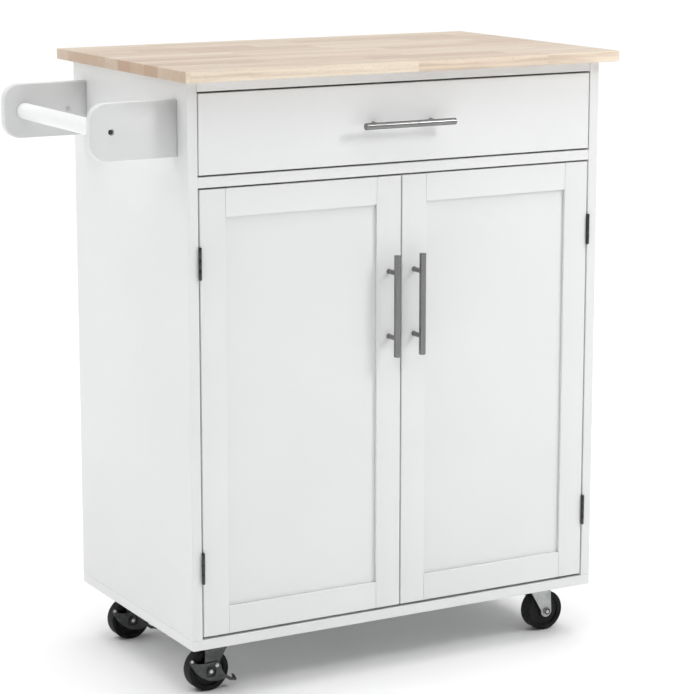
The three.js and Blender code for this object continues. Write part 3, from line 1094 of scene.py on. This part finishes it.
@dataclass(frozen=True)
class Heads(Recipe):
    """Screw heads or pegs, one on each point of the source, facing along the point's own direction."""

    FACING: ClassVar[str] = "facing"
    RINGS: ClassVar[int] = 10
    SINK: ClassVar[float] = 0.05
    CROSS: ClassVar[tuple[float, float, float]] = (1.15, 0.26, 1.1)
    HEX: ClassVar[tuple[float, float]] = (0.48, 1.3)

    radius: float
    height: float
    drive: Drive = Drive.CROSS
    sides: int = 24

    @classmethod
    def points(cls, places: Iterable[tuple[Vector, Vector]]) -> bpy.types.Mesh:
        """Makes the source.

        Args:
            places: Each head's seat and the direction that it faces.

        Returns:
            A mesh of loose points.
        """
        places = list(places)
        made = bpy.data.meshes.new("head_places")
        made.from_pydata([seat for seat, _ in places], [], [])
        facing = made.attributes.new(cls.FACING, "FLOAT_VECTOR", "POINT")
        facing.data.foreach_set("vector", [part for _, way in places for part in way])
        return made

    def write(self, graph: Graph, given: Mapping[str, Signal]) -> Signal:
        """Makes one head and puts it on each point.

        Args:
            graph: The tree.
            given: The tree's inputs by name.

        Returns:
            The heads.
        """
        radius, height = given["radius"], given["height"]
        unit = {"Segments": given["sides"], "Rings": self.RINGS, "Radius": 1.0}
        ball = graph.pick("GeometryNodeMeshUVSphere", {}, unit)
        x, y, z = graph.pick("GeometryNodeInputPosition").parts()
        dome = graph.vector(x * radius, y * radius, z.most(-self.SINK) * height)
        head = graph.pick("GeometryNodeSetPosition", {}, {"Geometry": ball, "Position": dome})
        cutters = self.cutters(graph, radius, height)
        if cutters:
            cut = graph.node("GeometryNodeMeshBoolean", {"operation": "DIFFERENCE"}, {"Mesh 1": head})
            for cutter in cutters:
                graph.tree.links.new(cutter.socket, cut.inputs["Mesh 2"])
            head = Signal(graph, cut.outputs[0])
        facing = graph.pick("GeometryNodeInputNamedAttribute", VECTORS, {"Name": self.FACING})
        turn = graph.pick("FunctionNodeAlignRotationToVector", {"axis": "Z"}, {"Vector": facing})
        inputs = {"Points": given["Source"], "Instance": head, "Rotation": turn}
        return graph.pick("GeometryNodeInstanceOnPoints", {}, inputs)

    def cutters(self, graph: Graph, radius: Signal, height: Signal) -> list[Signal]:
        """Makes what cuts the drive into the head.

        Args:
            graph: The tree.
            radius: The head's radius.
            height: The head's height.

        Returns:
            The cutters, none for a plain head.
        """
        blocks = []
        if self.drive is Drive.CROSS:
            length, width, depth = self.CROSS
            spans = [(radius * length, radius * width), (radius * width, radius * length)]
            sizes = [graph.vector(*span, height * depth) for span in spans]
            blocks = [graph.pick("GeometryNodeMeshCube", {}, {"Size": size}) for size in sizes]
        elif self.drive is Drive.HEX:
            width, depth = self.HEX
            sizes = {"Vertices": 6, "Radius": radius * width, "Depth": height * depth}
            blocks = [graph.pick("GeometryNodeMeshCylinder", {}, sizes)]
        crown = graph.vector(0.0, 0.0, height)
        moves = [{"Geometry": block, "Translation": crown} for block in blocks]
        return [graph.pick("GeometryNodeTransform", {}, move) for move in moves]


def fit_heads(
    name: str, heads: Heads, finish: Finish, body: str, places: Iterable[tuple[Vector, Vector]]
) -> bpy.types.Object:
    """Adds a set of screw heads or pegs.

    Args:
        name: The piece's name.
        heads: Their shape.
        finish: What they are made of.
        body: The body that they ride on.
        places: Each one's seat and the direction that it faces.

    Returns:
        The piece.
    """
    mesh = heads.mesh(finish, Heads.points(places))
    mesh.shade_smooth()
    mesh.set_sharp_from_angle(angle=HEAD_CORNER)
    return hand_in(name, mesh, finish, body)


@dataclass
class Worktop:
    """The butcher block worktop."""

    node: str = "worktop"

    def build(self) -> None:
        """Lays up the staves in the worktop's place."""
        low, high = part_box(self.node)
        layup = StaveLayup(tuple(low), tuple(high - low))
        hand_in("worktop_staves", layup.mesh(WOOD), WOOD, body_of(self.node), self.node)


@dataclass
class Carcass:
    """The painted cabinet: panels, rails, shelf, and what holds them."""

    edge: float = 0.7 * MM
    thin_edge: float = 0.4 * MM
    peg: Heads = Heads(2.9 * MM, 8 * MM, Drive.PLAIN, sides=16)
    peg_drop: float = 3 * MM
    peg_columns: tuple[float, float] = (75 * MM, 340 * MM)
    board_screw: Heads = Heads(4.5 * MM, 0.5 * MM, Drive.HEX)
    screw_rows: tuple[float, ...] = (0.16, 0.5, 0.84)
    boards: tuple[str, ...] = (
        "left_side_panel",
        "right_side_panel",
        "bottom_board",
        "top_front_rail",
        "top_back_rail",
        "middle_rail",
        "shelf",
    )

    def build(self) -> None:
        """Builds every board and its fittings."""
        for board in self.boards:
            eased_node(board, self.edge, suffix="painted")
        eased_node("back_panel", self.thin_edge, suffix="painted")
        self.shelf_pegs()
        self.bottom_screws()

    def shelf_pegs(self) -> None:
        """Puts a peg in each side panel under the shelf's corners."""
        low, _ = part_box("shelf")
        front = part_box("bottom_board")[0].y
        walls = {1.0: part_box("left_side_panel")[1].x, -1.0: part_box("right_side_panel")[0].x}
        places = [
            (Vector((wall, front + column, low.z - self.peg_drop)), Vector((way, 0.0, 0.0)))
            for way, wall in walls.items()
            for column in self.peg_columns
        ]
        fit_heads("shelf_pegs", self.peg, ZINC, "cabinet", places)

    def bottom_screws(self) -> None:
        """Puts the screws that hold the side panels up through the bottom board."""
        low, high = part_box("bottom_board")
        middles = [sum(corner.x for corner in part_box(f"{side.value}_side_panel")) / 2 for side in Side]
        places = [
            (Vector((x, low.y + share * (high.y - low.y), low.z)), Vector((0.0, 0.0, -1.0)))
            for x in middles
            for share in self.screw_rows
        ]
        fit_heads("bottom_board_screws", self.board_screw, ZINC, "cabinet", places)


@dataclass
class Handle:
    """A steel bar on two posts."""

    node: str
    along: Axis
    finish: Finish
    centres: float = 96 * MM
    post: float = 4 * MM
    edge: float = 0.6 * MM
    waist: float = 0.4 * MM
    waist_share: float = 0.86
    sides: int = 48
    screw: Heads = Heads(4 * MM, 2.2 * MM)
    board: float = 15.3 * MM

    def build(self) -> None:
        """Turns the bar and its posts, and fits the screws behind them."""
        low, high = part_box(self.node)
        middle = (low + high) / 2
        radius = min(high.x - low.x, high.z - low.z) / 2
        axis_y = low.y + radius
        length = (high - low).dot(self.along.value)
        centre = Vector((middle.x, axis_y, middle.z))
        turning = Turning(self.sides)
        bar = bar_profile(radius, length, self.edge)
        turning.add(bar, centre - self.along.value * length / 2, self.along)
        feet = [centre + self.along.value * step * self.centres / 2 for step in (-1, 1)]
        reach = high.y - axis_y
        stem = self.post - self.waist
        collar = arc((stem, reach - self.waist), self.waist, -90, 90, steps=4)
        post = [(0.0, 0.0), (stem, 0.0), (stem, reach * self.waist_share), *collar, (0.0, reach)]
        for foot in feet:
            turning.add(post, foot, Axis.Y)
        hand_in(f"{self.node}_bar", turning.mesh(), self.finish, body_of(self.node), self.node)
        places = [(Vector((foot.x, high.y + self.board, foot.z)), Axis.Y.value) for foot in feet]
        fit_heads(f"{self.node}_screws", self.screw, ZINC, body_of(self.node), places)


@dataclass
class Drawer:
    """The drawer: painted front and box, its handle, and its runners."""

    edge: float = 0.9 * MM
    box_edge: float = 0.5 * MM
    sheet: float = 1.2 * MM
    sheet_edge: float = 0.3 * MM
    screw: Heads = Heads(3.2 * MM, 0.35 * MM)
    screw_shares: tuple[float, ...] = (0.12, 0.5, 0.88)

    def build(self) -> None:
        """Builds the drawer and the runners that it slides on."""
        eased_node("drawer_front", self.edge, suffix="painted")
        for part in ("left_side", "right_side", "back", "bottom"):
            eased_node(f"drawer_{part}", self.box_edge, suffix="painted")
        Handle("drawer_handle", Axis.X, STEEL_ACROSS).build()
        for side in Side:
            self.runner(side)

    def runner(self, side: Side) -> None:
        """Builds one side's two channels and their screws.

        Args:
            side: Which side of the drawer.
        """
        way = Vector((1.0 if side is Side.LEFT else -1.0, 0.0, 0.0))
        for owner, sign in (("cabinet", 1.0), ("drawer", -1.0)):
            node = f"{side.value}_{owner}_runner"
            eased_node(node, self.sheet_edge, segments=2, suffix="channel")
            low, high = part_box(node)
            web = (low.x if way.x * sign > 0 else high.x) + way.x * sign * self.sheet
            places = [
                (Vector((web, low.y + share * (high.y - low.y), (low.z + high.z) / 2)), way * sign)
                for share in self.screw_shares
            ]
            fit_heads(f"{node}_screws", self.screw, ZINC, body_of(node), places)


@dataclass
class Hinge:
    """A butt hinge: two leaves, and the pin's two domed ends."""

    name: str
    edge: float = 0.22 * MM
    pin: float = 2.0 * MM
    dome: float = 1.1 * MM
    screw: Heads = Heads(2.4 * MM, 0.12 * MM, Drive.PLAIN, sides=16)
    leaf: float = 0.8 * MM
    leaf_screws: float = 14 * MM
    screw_from_back: float = 6 * MM

    def build(self) -> None:
        """Eases the leaves, and adds the pin's ends and the leaves' screws."""
        joint = JOINTS[f"{self.name.split('_')[0]}_door_hinge"]
        low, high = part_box(f"{self.name}_hinge_cabinet_leaf")
        axis = Vector(joint["pos_m"])
        for leaf in ("cabinet", "door"):
            eased_node(f"{self.name}_hinge_{leaf}_leaf", self.edge, BLACK, segments=2, suffix="plated")
            self.screws(leaf, axis.x)
        ends = [((axis.x, axis.y, high.z), 1.0), ((axis.x, axis.y, low.z), -1.0)]
        heads = Heads(self.pin, self.dome, Drive.PLAIN, sides=20)
        places = [(Vector(end), Vector((0.0, 0.0, way))) for end, way in ends]
        fit_heads(f"{self.name}_hinge_pin_ends", heads, BLACK, "cabinet", places)

    def screws(self, leaf: str, axis_x: float) -> None:
        """Adds two flush screws to one leaf.

        Args:
            leaf: Which leaf, cabinet or door.
            axis_x: Where the hinge's axis lies across the cart.
        """
        node = f"{self.name}_hinge_{leaf}_leaf"
        low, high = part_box(node)
        outward = 1.0 if axis_x > 0 else -1.0
        way = -outward if leaf == "cabinet" else outward
        face = (low.x if way > 0 else high.x) + way * self.leaf
        row = high.y - self.screw_from_back
        middle = (low.z + high.z) / 2
        places = [
            (Vector((face, row, middle + step * self.leaf_screws)), Vector((way, 0.0, 0.0)))
            for step in (-1, 1)
        ]
        fit_heads(f"{node}_screws", self.screw, ZINC, body_of(node), places)


@dataclass
class Door:
    """A framed door with a recessed panel, its handle, hinges and strike plate."""

    side: Side
    edge: float = 0.9 * MM
    joint_share: float = 0.6
    panel_edge: float = 0.3 * MM
    plate_edge: float = 0.3 * MM
    strike_screw: Heads = Heads(2.6 * MM, 1.0 * MM)
    frame: tuple[str, ...] = ("hinge_stile", "meeting_stile", "top_rail", "bottom_rail")

    def build(self) -> None:
        """Builds the door and what is fixed to it."""
        name = f"{self.side.value}_door"
        self.dress_frame(name)
        eased_node(f"{name}_panel", self.panel_edge, suffix="painted")
        Handle(f"{name}_handle", Axis.Z, STEEL_UPRIGHT).build()
        plate = f"{name}_strike_plate"
        eased_node(plate, self.plate_edge, suffix="plated")
        low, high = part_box(plate)
        middle = (low + high) / 2
        seat = Vector((middle.x, high.y, middle.z))
        fit_heads(f"{plate}_screw", self.strike_screw, ZINC, name, [(seat, Axis.Y.value)])
        for level in ("upper", "lower"):
            Hinge(f"{self.side.value}_{level}").build()

    def dress_frame(self, name: str) -> None:
        """Eases the door's outer edges widely, and the frame's inner edges and joints a little.

        Args:
            name: The door's name.
        """
        boxes = [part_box(f"{name}_{part}") for part in self.frame]
        limits = [(axis, end, pick) for axis in (0, 2) for end, pick in ((0, min), (1, max))]
        sides = [(axis, pick(box[end][axis] for box in boxes)) for axis, end, pick in limits]
        for part in self.frame:
            node = f"{name}_{part}"
            shape = merged_copy(node)
            weight = shape.edges.layers.float.new("bevel_weight_edge")
            for edge in shape.edges:
                ends = [corner.co for corner in edge.verts]
                outer = any(all(abs(end[axis] - place) < MERGE for end in ends) for axis, place in sides)
                level = len({round(end.y / MERGE) for end in ends}) == 1
                edge[weight] = 1.0 if outer and level else self.joint_share
            mesh = ease(to_mesh(shape, node), self.edge, by_weight=True)
            hand_in(f"{node}_painted", mesh, SATIN, name, node)


@dataclass
class Catch:
    """The double magnetic catch: its moulded body, two steel-faced magnets and its screws."""

    node: str = "magnetic_catch"
    edge: float = 1.2 * MM
    screw: Heads = Heads(2.8 * MM, 1.2 * MM)
    screw_shares: tuple[float, ...] = (0.12, 0.5, 0.88)
    magnet: tuple[float, float] = (4.2 * MM, 1.0 * MM)
    magnet_edge: float = 0.2 * MM
    magnet_proud: float = 0.25 * MM
    magnet_step: float = 11 * MM

    def build(self) -> None:
        """Builds the catch under the middle rail."""
        eased_node(self.node, self.edge, suffix="moulded")
        low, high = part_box(self.node)
        middle = (low + high) / 2
        columns = [low.x + share * (high.x - low.x) for share in self.screw_shares]
        places = [(Vector((x, middle.y, low.z)), -Axis.Z.value) for x in columns]
        fit_heads(f"{self.node}_screws", self.screw, ZINC, "cabinet", places)
        faces = Turning(sides=32)
        for way in (-1, 1):
            face = Vector((middle.x + way * self.magnet_step, low.y - self.magnet_proud, middle.z))
            faces.add(bar_profile(*self.magnet, self.magnet_edge), face, Axis.Y)
        hand_in("magnet_faces", faces.mesh(), ZINC, "cabinet")


@dataclass
class TowelRail:
    """The towel rail: two brackets and a rod, with the screws and barrel nuts that hold them."""

    edge: float = 1.6 * MM
    hole_share: float = 0.2
    rod_edge: float = 1.0 * MM
    screw: Heads = Heads(3.5 * MM, 1.6 * MM, Drive.HEX)
    screw_seat: float = 3.0 * MM
    nut_radius: float = 3.7 * MM
    nut_depth: float = 8.6 * MM
    nut_sink: float = 0.4 * MM
    nut_edge: float = 0.4 * MM
    nut_from_panel: float = 30 * MM
    dimple: tuple[float, float, float] = (1.5 * MM, 1.2 * MM, 1.2 * MM)
    panel_gap: float = 0.3 * MM
    hole_reach: float = 6 * MM
    sharp: float = 50.0

    def build(self) -> None:
        """Builds the brackets, the rod and the fittings."""
        self.rod()
        low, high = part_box("towel_rod")
        centre = (low + high) / 2
        for row in Row:
            self.bracket(row, centre)
        nuts = Turning(sides=28)
        seats = []
        for row in Row:
            inner, outer, way = self.faces(row)
            screw = Vector((centre.x, outer + way * self.screw_seat, centre.z))
            seats.append((screw, Vector((0.0, -way, 0.0))))
            start = inner - self.nut_depth if way > 0 else inner + self.nut_sink
            nuts.add(self.nut_profile(way), Vector((self.nut_place(row), start, centre.z)), Axis.Y)
        fit_heads("towel_rod_screws", self.screw, BLACK, "cabinet", seats)
        hand_in("towel_barrel_nuts", nuts.mesh(), RIVET, "cabinet")

    def faces(self, row: Row) -> tuple[float, float, float]:
        """Finds a bracket's faces.

        Args:
            row: Which bracket.

        Returns:
            Its inner face's y, its outer face's y, and the way from outer to inner.
        """
        low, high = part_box(f"towel_bracket_{row.value}")
        return (high.y, low.y, 1.0) if row is Row.FRONT else (low.y, high.y, -1.0)

    def nut_place(self, row: Row) -> float:
        """Returns how far across the cart a bracket's barrel nut lies."""
        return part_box(f"towel_bracket_{row.value}")[1].x + self.panel_gap - self.nut_from_panel

    def nut_profile(self, way: float) -> Profile:
        """A barrel nut's profile, sunk below the bracket's inner face, with a dimple in its end.

        Args:
            way: Which way it faces along Y.

        Returns:
            The profile.
        """
        length = self.nut_depth - self.nut_sink
        solid = bar_profile(self.nut_radius, length, self.nut_edge)
        mouth, floor, depth = self.dimple
        profile = [*solid[:-1], (mouth, length), (floor, length - depth), (0.0, length - depth)]
        return profile if way > 0 else [(radius, length - height) for radius, height in profile]

    def bracket(self, row: Row, centre: Vector) -> None:
        """Eases one bracket's outline widely and its holes a little.

        Args:
            row: Which bracket.
            centre: The rod's middle.
        """
        node = f"towel_bracket_{row.value}"
        shape = merged_copy(node)
        weight = shape.edges.layers.float.new("bevel_weight_edge")
        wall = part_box(node)[1].x - MERGE
        holes = (centre.x, self.nut_place(row))
        for edge in shape.edges:
            middle = (edge.verts[0].co + edge.verts[1].co) / 2
            near = min(math.hypot(middle.x - x, middle.z - centre.z) for x in holes)
            share = self.hole_share if near < self.hole_reach else 1.0
            sharp = edge.is_manifold and edge.calc_face_angle() > math.radians(self.sharp)
            edge[weight] = share if sharp and middle.x <= wall else 0.0
        mesh = ease(to_mesh(shape, node), self.edge, segments=4, by_weight=True)
        # The bracket takes the darker copy of the white paint, which is painted shade.
        hand_in(f"{node}_painted", mesh, SHADED_BRACKET_WHITE, "cabinet", node)

    def rod(self) -> None:
        """Turns the rod."""
        low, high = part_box("towel_rod")
        centre = (low + high) / 2
        profile = bar_profile((high.z - low.z) / 2, high.y - low.y, self.rod_edge)
        turning = Turning(sides=64).add(profile, Vector((centre.x, low.y, centre.z)), Axis.Y)
        hand_in("towel_rod_turned", turning.mesh(), GLOSSY, "cabinet", "towel_rod")


@dataclass
class Wheel:
    """A moulded wheel. Its section is radius and half width, from the bore out to the tread."""

    TREAD: ClassVar[str] = "tread"

    name: str
    bore: float = 4.4 * MM
    bore_edge: float = 0.5 * MM
    hub: float = 11 * MM
    hub_half: float = 11.8 * MM
    hub_proud: float = 0.8 * MM
    hub_edge: float = 1 * MM
    web_half: float = 8.6 * MM
    fillet: float = 1.2 * MM
    rim: float = 23.5 * MM
    rim_edge: float = 1.1 * MM
    rim_corner: tuple[float, float] = (0.8 * MM, 1.4 * MM)
    lip_drop: float = 0.1 * MM
    groove: float = 27.2 * MM
    groove_size: tuple[float, float] = (0.5 * MM, 0.55 * MM)
    shoulder: float = 1.5 * MM
    crown: tuple[tuple[float, float], ...] = (
        (0.05 * MM, 2.5 * MM),
        (0.0, 0.9 * MM),
        (0.12 * MM, 0.35 * MM),
    )
    tread_share: float = 0.93

    def build(self) -> None:
        """Turns the wheel and marks its tread."""
        node = f"{self.name}_caster_wheel"
        low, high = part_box(node)
        centre = (low + high) / 2
        radius = (high.z - low.z) / 2
        half = (high.y - low.y) / 2 - self.hub_proud
        upper = [*self.hub_section(), *self.rim_section(radius, half)]
        lower = [(ring, -height) for ring, height in reversed(upper)]
        turning = Turning(sides=72).add([*upper, *lower], centre, Axis.Y, closed=True)
        mesh = turning.mesh(sharp=32.0)
        tread = mesh.attributes.new(self.TREAD, "FLOAT", "POINT")
        reach = (math.hypot(v.co.x - centre.x, v.co.z - centre.z) / radius for v in mesh.vertices)
        tread.data.foreach_set("value", [float(share > self.tread_share) for share in reach])
        hand_in(f"{node}_turned", mesh, TYRE, body_of(node), node)

    def hub_section(self) -> Profile:
        """Returns the upper half of the section from the bore out to the web."""
        edge = self.hub_edge
        foot = self.hub + self.fillet
        return [
            (self.bore, self.hub_half - self.bore_edge),
            (self.bore + self.bore_edge, self.hub_half),
            *arc((self.hub - edge, self.hub_half - edge), edge, 90, 0, steps=3),
            (self.hub, self.web_half + self.fillet),
            *arc((foot, self.web_half + self.fillet), self.fillet, 180, 270, steps=3),
            (self.rim - edge, self.web_half),
        ]

    def rim_section(self, radius: float, half: float) -> Profile:
        """Returns the upper half of the section from the rim out to the middle of the tread.

        Args:
            radius: The wheel's radius.
            half: Half the rim's width.

        Returns:
            The points.
        """
        width, depth = self.groove_size
        out, below = self.rim_corner
        lip = half - self.lip_drop
        return [
            *arc((self.rim + out, half - below), self.rim_edge, 160, 90, steps=3),
            (self.groove - width, lip),
            (self.groove, half - depth),
            (self.groove + width, lip),
            *arc((radius - self.shoulder, half - self.shoulder), self.shoulder, 90, 12, steps=6),
            *((radius - drop, height) for drop, height in self.crown),
        ]


@dataclass
class Caster:
    """A swivel caster, with a brake lever where it has one."""

    row: Row
    side: Side
    sheet_edge: float = 0.5 * MM
    plate_screw: Heads = Heads(4.4 * MM, 2.2 * MM)
    screw_grid: tuple[float, float] = (23 * MM, 15.5 * MM)
    plate_sheet: float = 2.5 * MM
    race: float = 17.3 * MM
    seal: tuple[float, float] = (2.6 * MM, 2.8 * MM)
    seal_foot: float = 0.2 * MM
    axle: float = 4.0 * MM
    cheeks_half: float = 15.1 * MM
    axle_head: float = 3.2 * MM
    washer: tuple[float, float] = (6.5 * MM, 0.9 * MM)
    washer_edge: tuple[float, float] = (0.3 * MM, 0.7)
    rivet: Heads = Heads(3.0 * MM, 1.3 * MM, Drive.PLAIN, sides=24)
    # A dark moulded ring round each axle end, which is painted shade for the recess there.
    insert: tuple[float, float] = (5.0 * MM, 0.3 * MM)
    insert_edge: float = 0.1 * MM
    insert_lap: float = 0.2 * MM

    @property
    def name(self) -> str:
        """The caster's name."""
        return f"{self.row.value}_{self.side.value}"

    def build(self) -> None:
        """Builds the plate, the fork, the wheel and the brake."""
        plate, fork = f"{self.name}_caster_plate", f"{self.name}_caster_fork"
        eased_node(plate, self.sheet_edge, segments=2, suffix="plated")
        eased_node(fork, self.sheet_edge, segments=3, suffix="pressed")
        Wheel(self.name).build()
        self.screws(plate)
        self.fittings(fork)
        if f"{self.name}_caster_brake" in frame["nodes"]:
            Brake(self.name).build()

    def screws(self, plate: str) -> None:
        """Adds the screws that hold the plate.

        Args:
            plate: The plate's node.
        """
        pin = Vector(JOINTS[f"{self.name}_swivel"]["pos_m"])
        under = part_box(plate)[1].z - self.plate_sheet
        along, across = self.screw_grid
        grid = [(x, y) for x in (-along, along) for y in (-across, across)]
        seats = [Vector((pin.x + x, pin.y + y, under)) for x, y in grid]
        places = [(seat, Vector((0.0, 0.0, -1.0))) for seat in seats]
        fit_heads(f"{plate}_screws", self.plate_screw, ZINC, "cabinet", places)

    def fittings(self, fork: str) -> None:
        """Adds the race's seal, and a washer and a domed rivet at each end of the axle.

        Args:
            fork: The fork's node.
        """
        pin = Vector(JOINTS[f"{self.name}_swivel"]["pos_m"])
        axle = Vector(JOINTS[f"{self.name}_roll"]["pos_m"])
        width, height = self.seal
        top = arc((self.race + width / 2, height / 2), width / 2, 180, 0, steps=6)
        loop = [*top, (self.race + width, self.seal_foot), (self.race, self.seal_foot)]
        seat = Vector((pin.x, pin.y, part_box(fork)[1].z))
        ring = Turning(sides=48).add(loop, seat, Axis.Z, closed=True)
        hand_in(f"{self.name}_race_seal", ring.mesh(), MOULDING, body_of(fork))
        self.washers(fork, axle)
        tip = self.cheeks_half + self.axle_head
        # Dark rings round the axle ends stand in for the shade of a recess.
        self.inserts(fork, axle, tip)
        ways = [Axis.Y.value * way for way in (-1, 1)]
        places = [(axle + way * tip, way) for way in ways]
        fit_heads(f"{self.name}_axle_ends", self.rivet, RIVET, body_of(fork), places)

    def washers(self, fork: str, axle: Vector) -> None:
        """Adds a washer on each of the fork's cheeks.

        Args:
            fork: The fork's node.
            axle: The axle's middle.
        """
        radius, thick = self.washer
        edge, share = self.washer_edge
        rim = [(radius, 0.0), (radius, thick * share), (radius - edge, thick)]
        loop = [(self.axle, 0.0), *rim, (self.axle, thick)]
        washers = Turning(sides=32)
        for way in (-1, 1):
            seat = axle + Axis.Y.value * way * self.cheeks_half
            washers.add([(ring, way * height) for ring, height in loop], seat, Axis.Y, closed=True)
        hand_in(f"{self.name}_axle_washers", washers.mesh(), FINISHES[SLOTS[fork]], body_of(fork))

    def inserts(self, fork: str, axle: Vector, tip: float) -> None:
        """Adds a dark moulded ring round each bright axle end, as painted shade for the recess there.

        Args:
            fork: The fork's node.
            axle: The axle's middle.
            tip: How far its ends lie from there.
        """
        radius, thick = self.insert
        inner = self.rivet.radius - self.insert_lap
        rim = [(radius, -thick), (radius, thick - self.insert_edge), (radius - self.insert_edge, thick)]
        loop = [(inner, -thick), *rim, (inner, thick)]
        rings = Turning(sides=32)
        for way in (-1, 1):
            seat = axle + Axis.Y.value * way * tip
            rings.add([(ring, way * height) for ring, height in loop], seat, Axis.Y, closed=True)
        hand_in(f"{self.name}_axle_inserts", rings.mesh(), MOULDING, body_of(fork))


@dataclass
class Brake:
    """A caster's brake lever, with its rivet, its spring pin's head and the rib round its hole."""

    caster: str
    edge: float = 0.45 * MM
    spring_pin: tuple[float, float] = (-31 * MM, 20 * MM)
    spring_pin_height: float = 1.6 * MM
    spring_head: Heads = Heads(2.4 * MM, 1.0 * MM, Drive.PLAIN, sides=20)
    pivot_head: Heads = Heads(3.1 * MM, 1.3 * MM, Drive.PLAIN, sides=24)
    pivot_gap: float = 0.3 * MM
    rib: tuple[float, float] = (9.6 * MM, 0.9 * MM)
    rib_section: tuple[tuple[float, float], ...] = ((-1.0, 0.0), (-0.5, 0.7), (0.5, 0.7), (1.0, 0.0))
    rib_sink: float = 0.05 * MM

    def build(self) -> None:
        """Eases the lever and adds its heads and its rib."""
        node = f"{self.caster}_caster_brake"
        eased_node(node, self.edge, suffix="pressed")
        axle = Vector(JOINTS[f"{self.caster}_roll"]["pos_m"])
        pivot = Vector(JOINTS[f"{self.caster}_brake_pedal"]["pos_m"])
        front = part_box(node)[0].y
        face = front + self.spring_pin_height
        out = -Axis.Y.value
        spring = Vector((axle.x + self.spring_pin[0], front, axle.z + self.spring_pin[1]))
        places = [(spring, out)]
        fit_heads(f"{self.caster}_spring_pin_head", self.spring_head, RIVET, body_of(node), places)
        seat = Vector((pivot.x, face - self.pivot_gap, pivot.z))
        fork = body_of(f"{self.caster}_caster_fork")
        fit_heads(f"{self.caster}_brake_rivet", self.pivot_head, RIVET, fork, [(seat, out)])
        radius, thick = self.rib
        loop = [(radius + thick * side, -thick * height) for side, height in self.rib_section]
        foot = Vector((axle.x, face + self.rib_sink, axle.z))
        rib = Turning(sides=48).add(loop, foot, Axis.Y, closed=True)
        hand_in(f"{self.caster}_lever_rib", rib.mesh(sharp=60.0), DARK, body_of(node))


@dataclass
class Studio:
    """The floor, the lights and the camera."""

    floor_half: float = 40.0
    place: tuple[float, float, float] = (-1.73855, -3.2403, 1.2184)
    heading: float = 29.12
    pitch: float = 10.79
    lens: float = 127.64
    shift: tuple[float, float] = (-0.0035, -0.05)
    sky_power: float = 2.9
    backdrop: float = 0.55
    wall_sides: tuple[float, float] = (0.1, 0.6)
    wall_fade: tuple[float, float] = (0.25, 0.45)
    sky: tuple[tuple[float, float], ...] = (
        (0.0, 0.95),
        (0.03, 0.95),
        (0.07, 0.03),
        (0.5, 0.08),
        (0.75, 1.2),
        (1.0, 2.9),
    )
    lights: tuple[tuple[str, tuple[float, float, float], float, float], ...] = (
        ("key", (1.15, -1.5, 1.7), 0.45, 11.8),
        ("side", (-2.0, 0.6, 1.75), 1.0, 8.0),
    )

    def build(self) -> None:
        """Builds the studio round the cart."""
        self.floor()
        self.world()
        for light in self.lights:
            self.light(*light)
        self.camera()
        bpy.context.scene.view_settings.view_transform = "Standard"

    def floor(self) -> None:
        """Lays the floor."""
        half = self.floor_half
        shape = bmesh.new()
        square = ((-half, -half), (half, -half), (half, half), (-half, half))
        corners = [shape.verts.new((x, y, 0.0)) for x, y in square]
        shape.faces.new(corners)
        floor = bpy.data.objects.new("studio_floor", to_mesh(shape, "studio_floor"))
        floor.data.materials.append(FloorCoat("pale_floor", "").material())
        bpy.context.scene.collection.objects.link(floor)

    def world(self) -> None:
        """Makes a plain soft sky, brighter overhead, with a pale wall of light behind the cart."""
        world = bpy.data.worlds.new("soft_studio")
        world.use_nodes = True
        world.node_tree.nodes.clear()
        graph = Graph(world.node_tree)
        _, back, up = graph.pick("ShaderNodeTexCoord", output="Generated").parts()
        light = graph.ramp(up, [(place, (power / self.sky_power,) * 3) for place, power in self.sky])
        wall = back.span(*self.wall_sides) * (1 - up.span(*self.wall_fade))
        wall = wall * (self.backdrop / self.sky_power)
        light = graph.mix(wall, light, (1.0, 1.0, 1.0))
        sky = graph.pick("ShaderNodeBackground", {}, {"Color": light, "Strength": self.sky_power})
        graph.node("ShaderNodeOutputWorld", {}, {"Surface": sky})
        bpy.context.scene.world = world

    def light(self, name: str, place: tuple[float, float, float], size: float, power: float) -> None:
        """Hangs one soft light, aimed at the middle of the cart.

        Args:
            name: The light's name.
            place: Where it hangs.
            size: Its side.
            power: Its power in watts.
        """
        data = bpy.data.lights.new(name, "AREA")
        data.size = size
        data.energy = power
        lamp = bpy.data.objects.new(name, data)
        middle = (CAD_BOX[0] + CAD_BOX[1]) / 2
        lamp.location = place
        lamp.rotation_euler = (middle - Vector(place)).to_track_quat("-Z", "Y").to_euler()
        bpy.context.scene.collection.objects.link(lamp)

    def camera(self) -> None:
        """Stands the camera in front of the left corner, a little above the worktop."""
        data = bpy.data.cameras.new("camera")
        data.lens = self.lens
        data.shift_x, data.shift_y = self.shift
        camera = bpy.data.objects.new("camera", data)
        turn, dip = math.radians(self.heading), math.radians(self.pitch)
        look = Vector((math.sin(turn) * math.cos(dip), math.cos(turn) * math.cos(dip), -math.sin(dip)))
        camera.location = self.place
        camera.rotation_euler = look.to_track_quat("-Z", "Y").to_euler()
        bpy.context.scene.collection.objects.link(camera)
        bpy.context.scene.camera = camera


def main() -> None:
    """Builds the cart and its studio."""
    logging.basicConfig(level=logging.INFO, format="%(message)s")
    Studio().build()
    Worktop().build()
    Carcass().build()
    Drawer().build()
    for side in Side:
        Door(side).build()
    Catch().build()
    TowelRail().build()
    for row in Row:
        for side in Side:
            Caster(row, side).build()


if __name__ == "__main__":
    main()
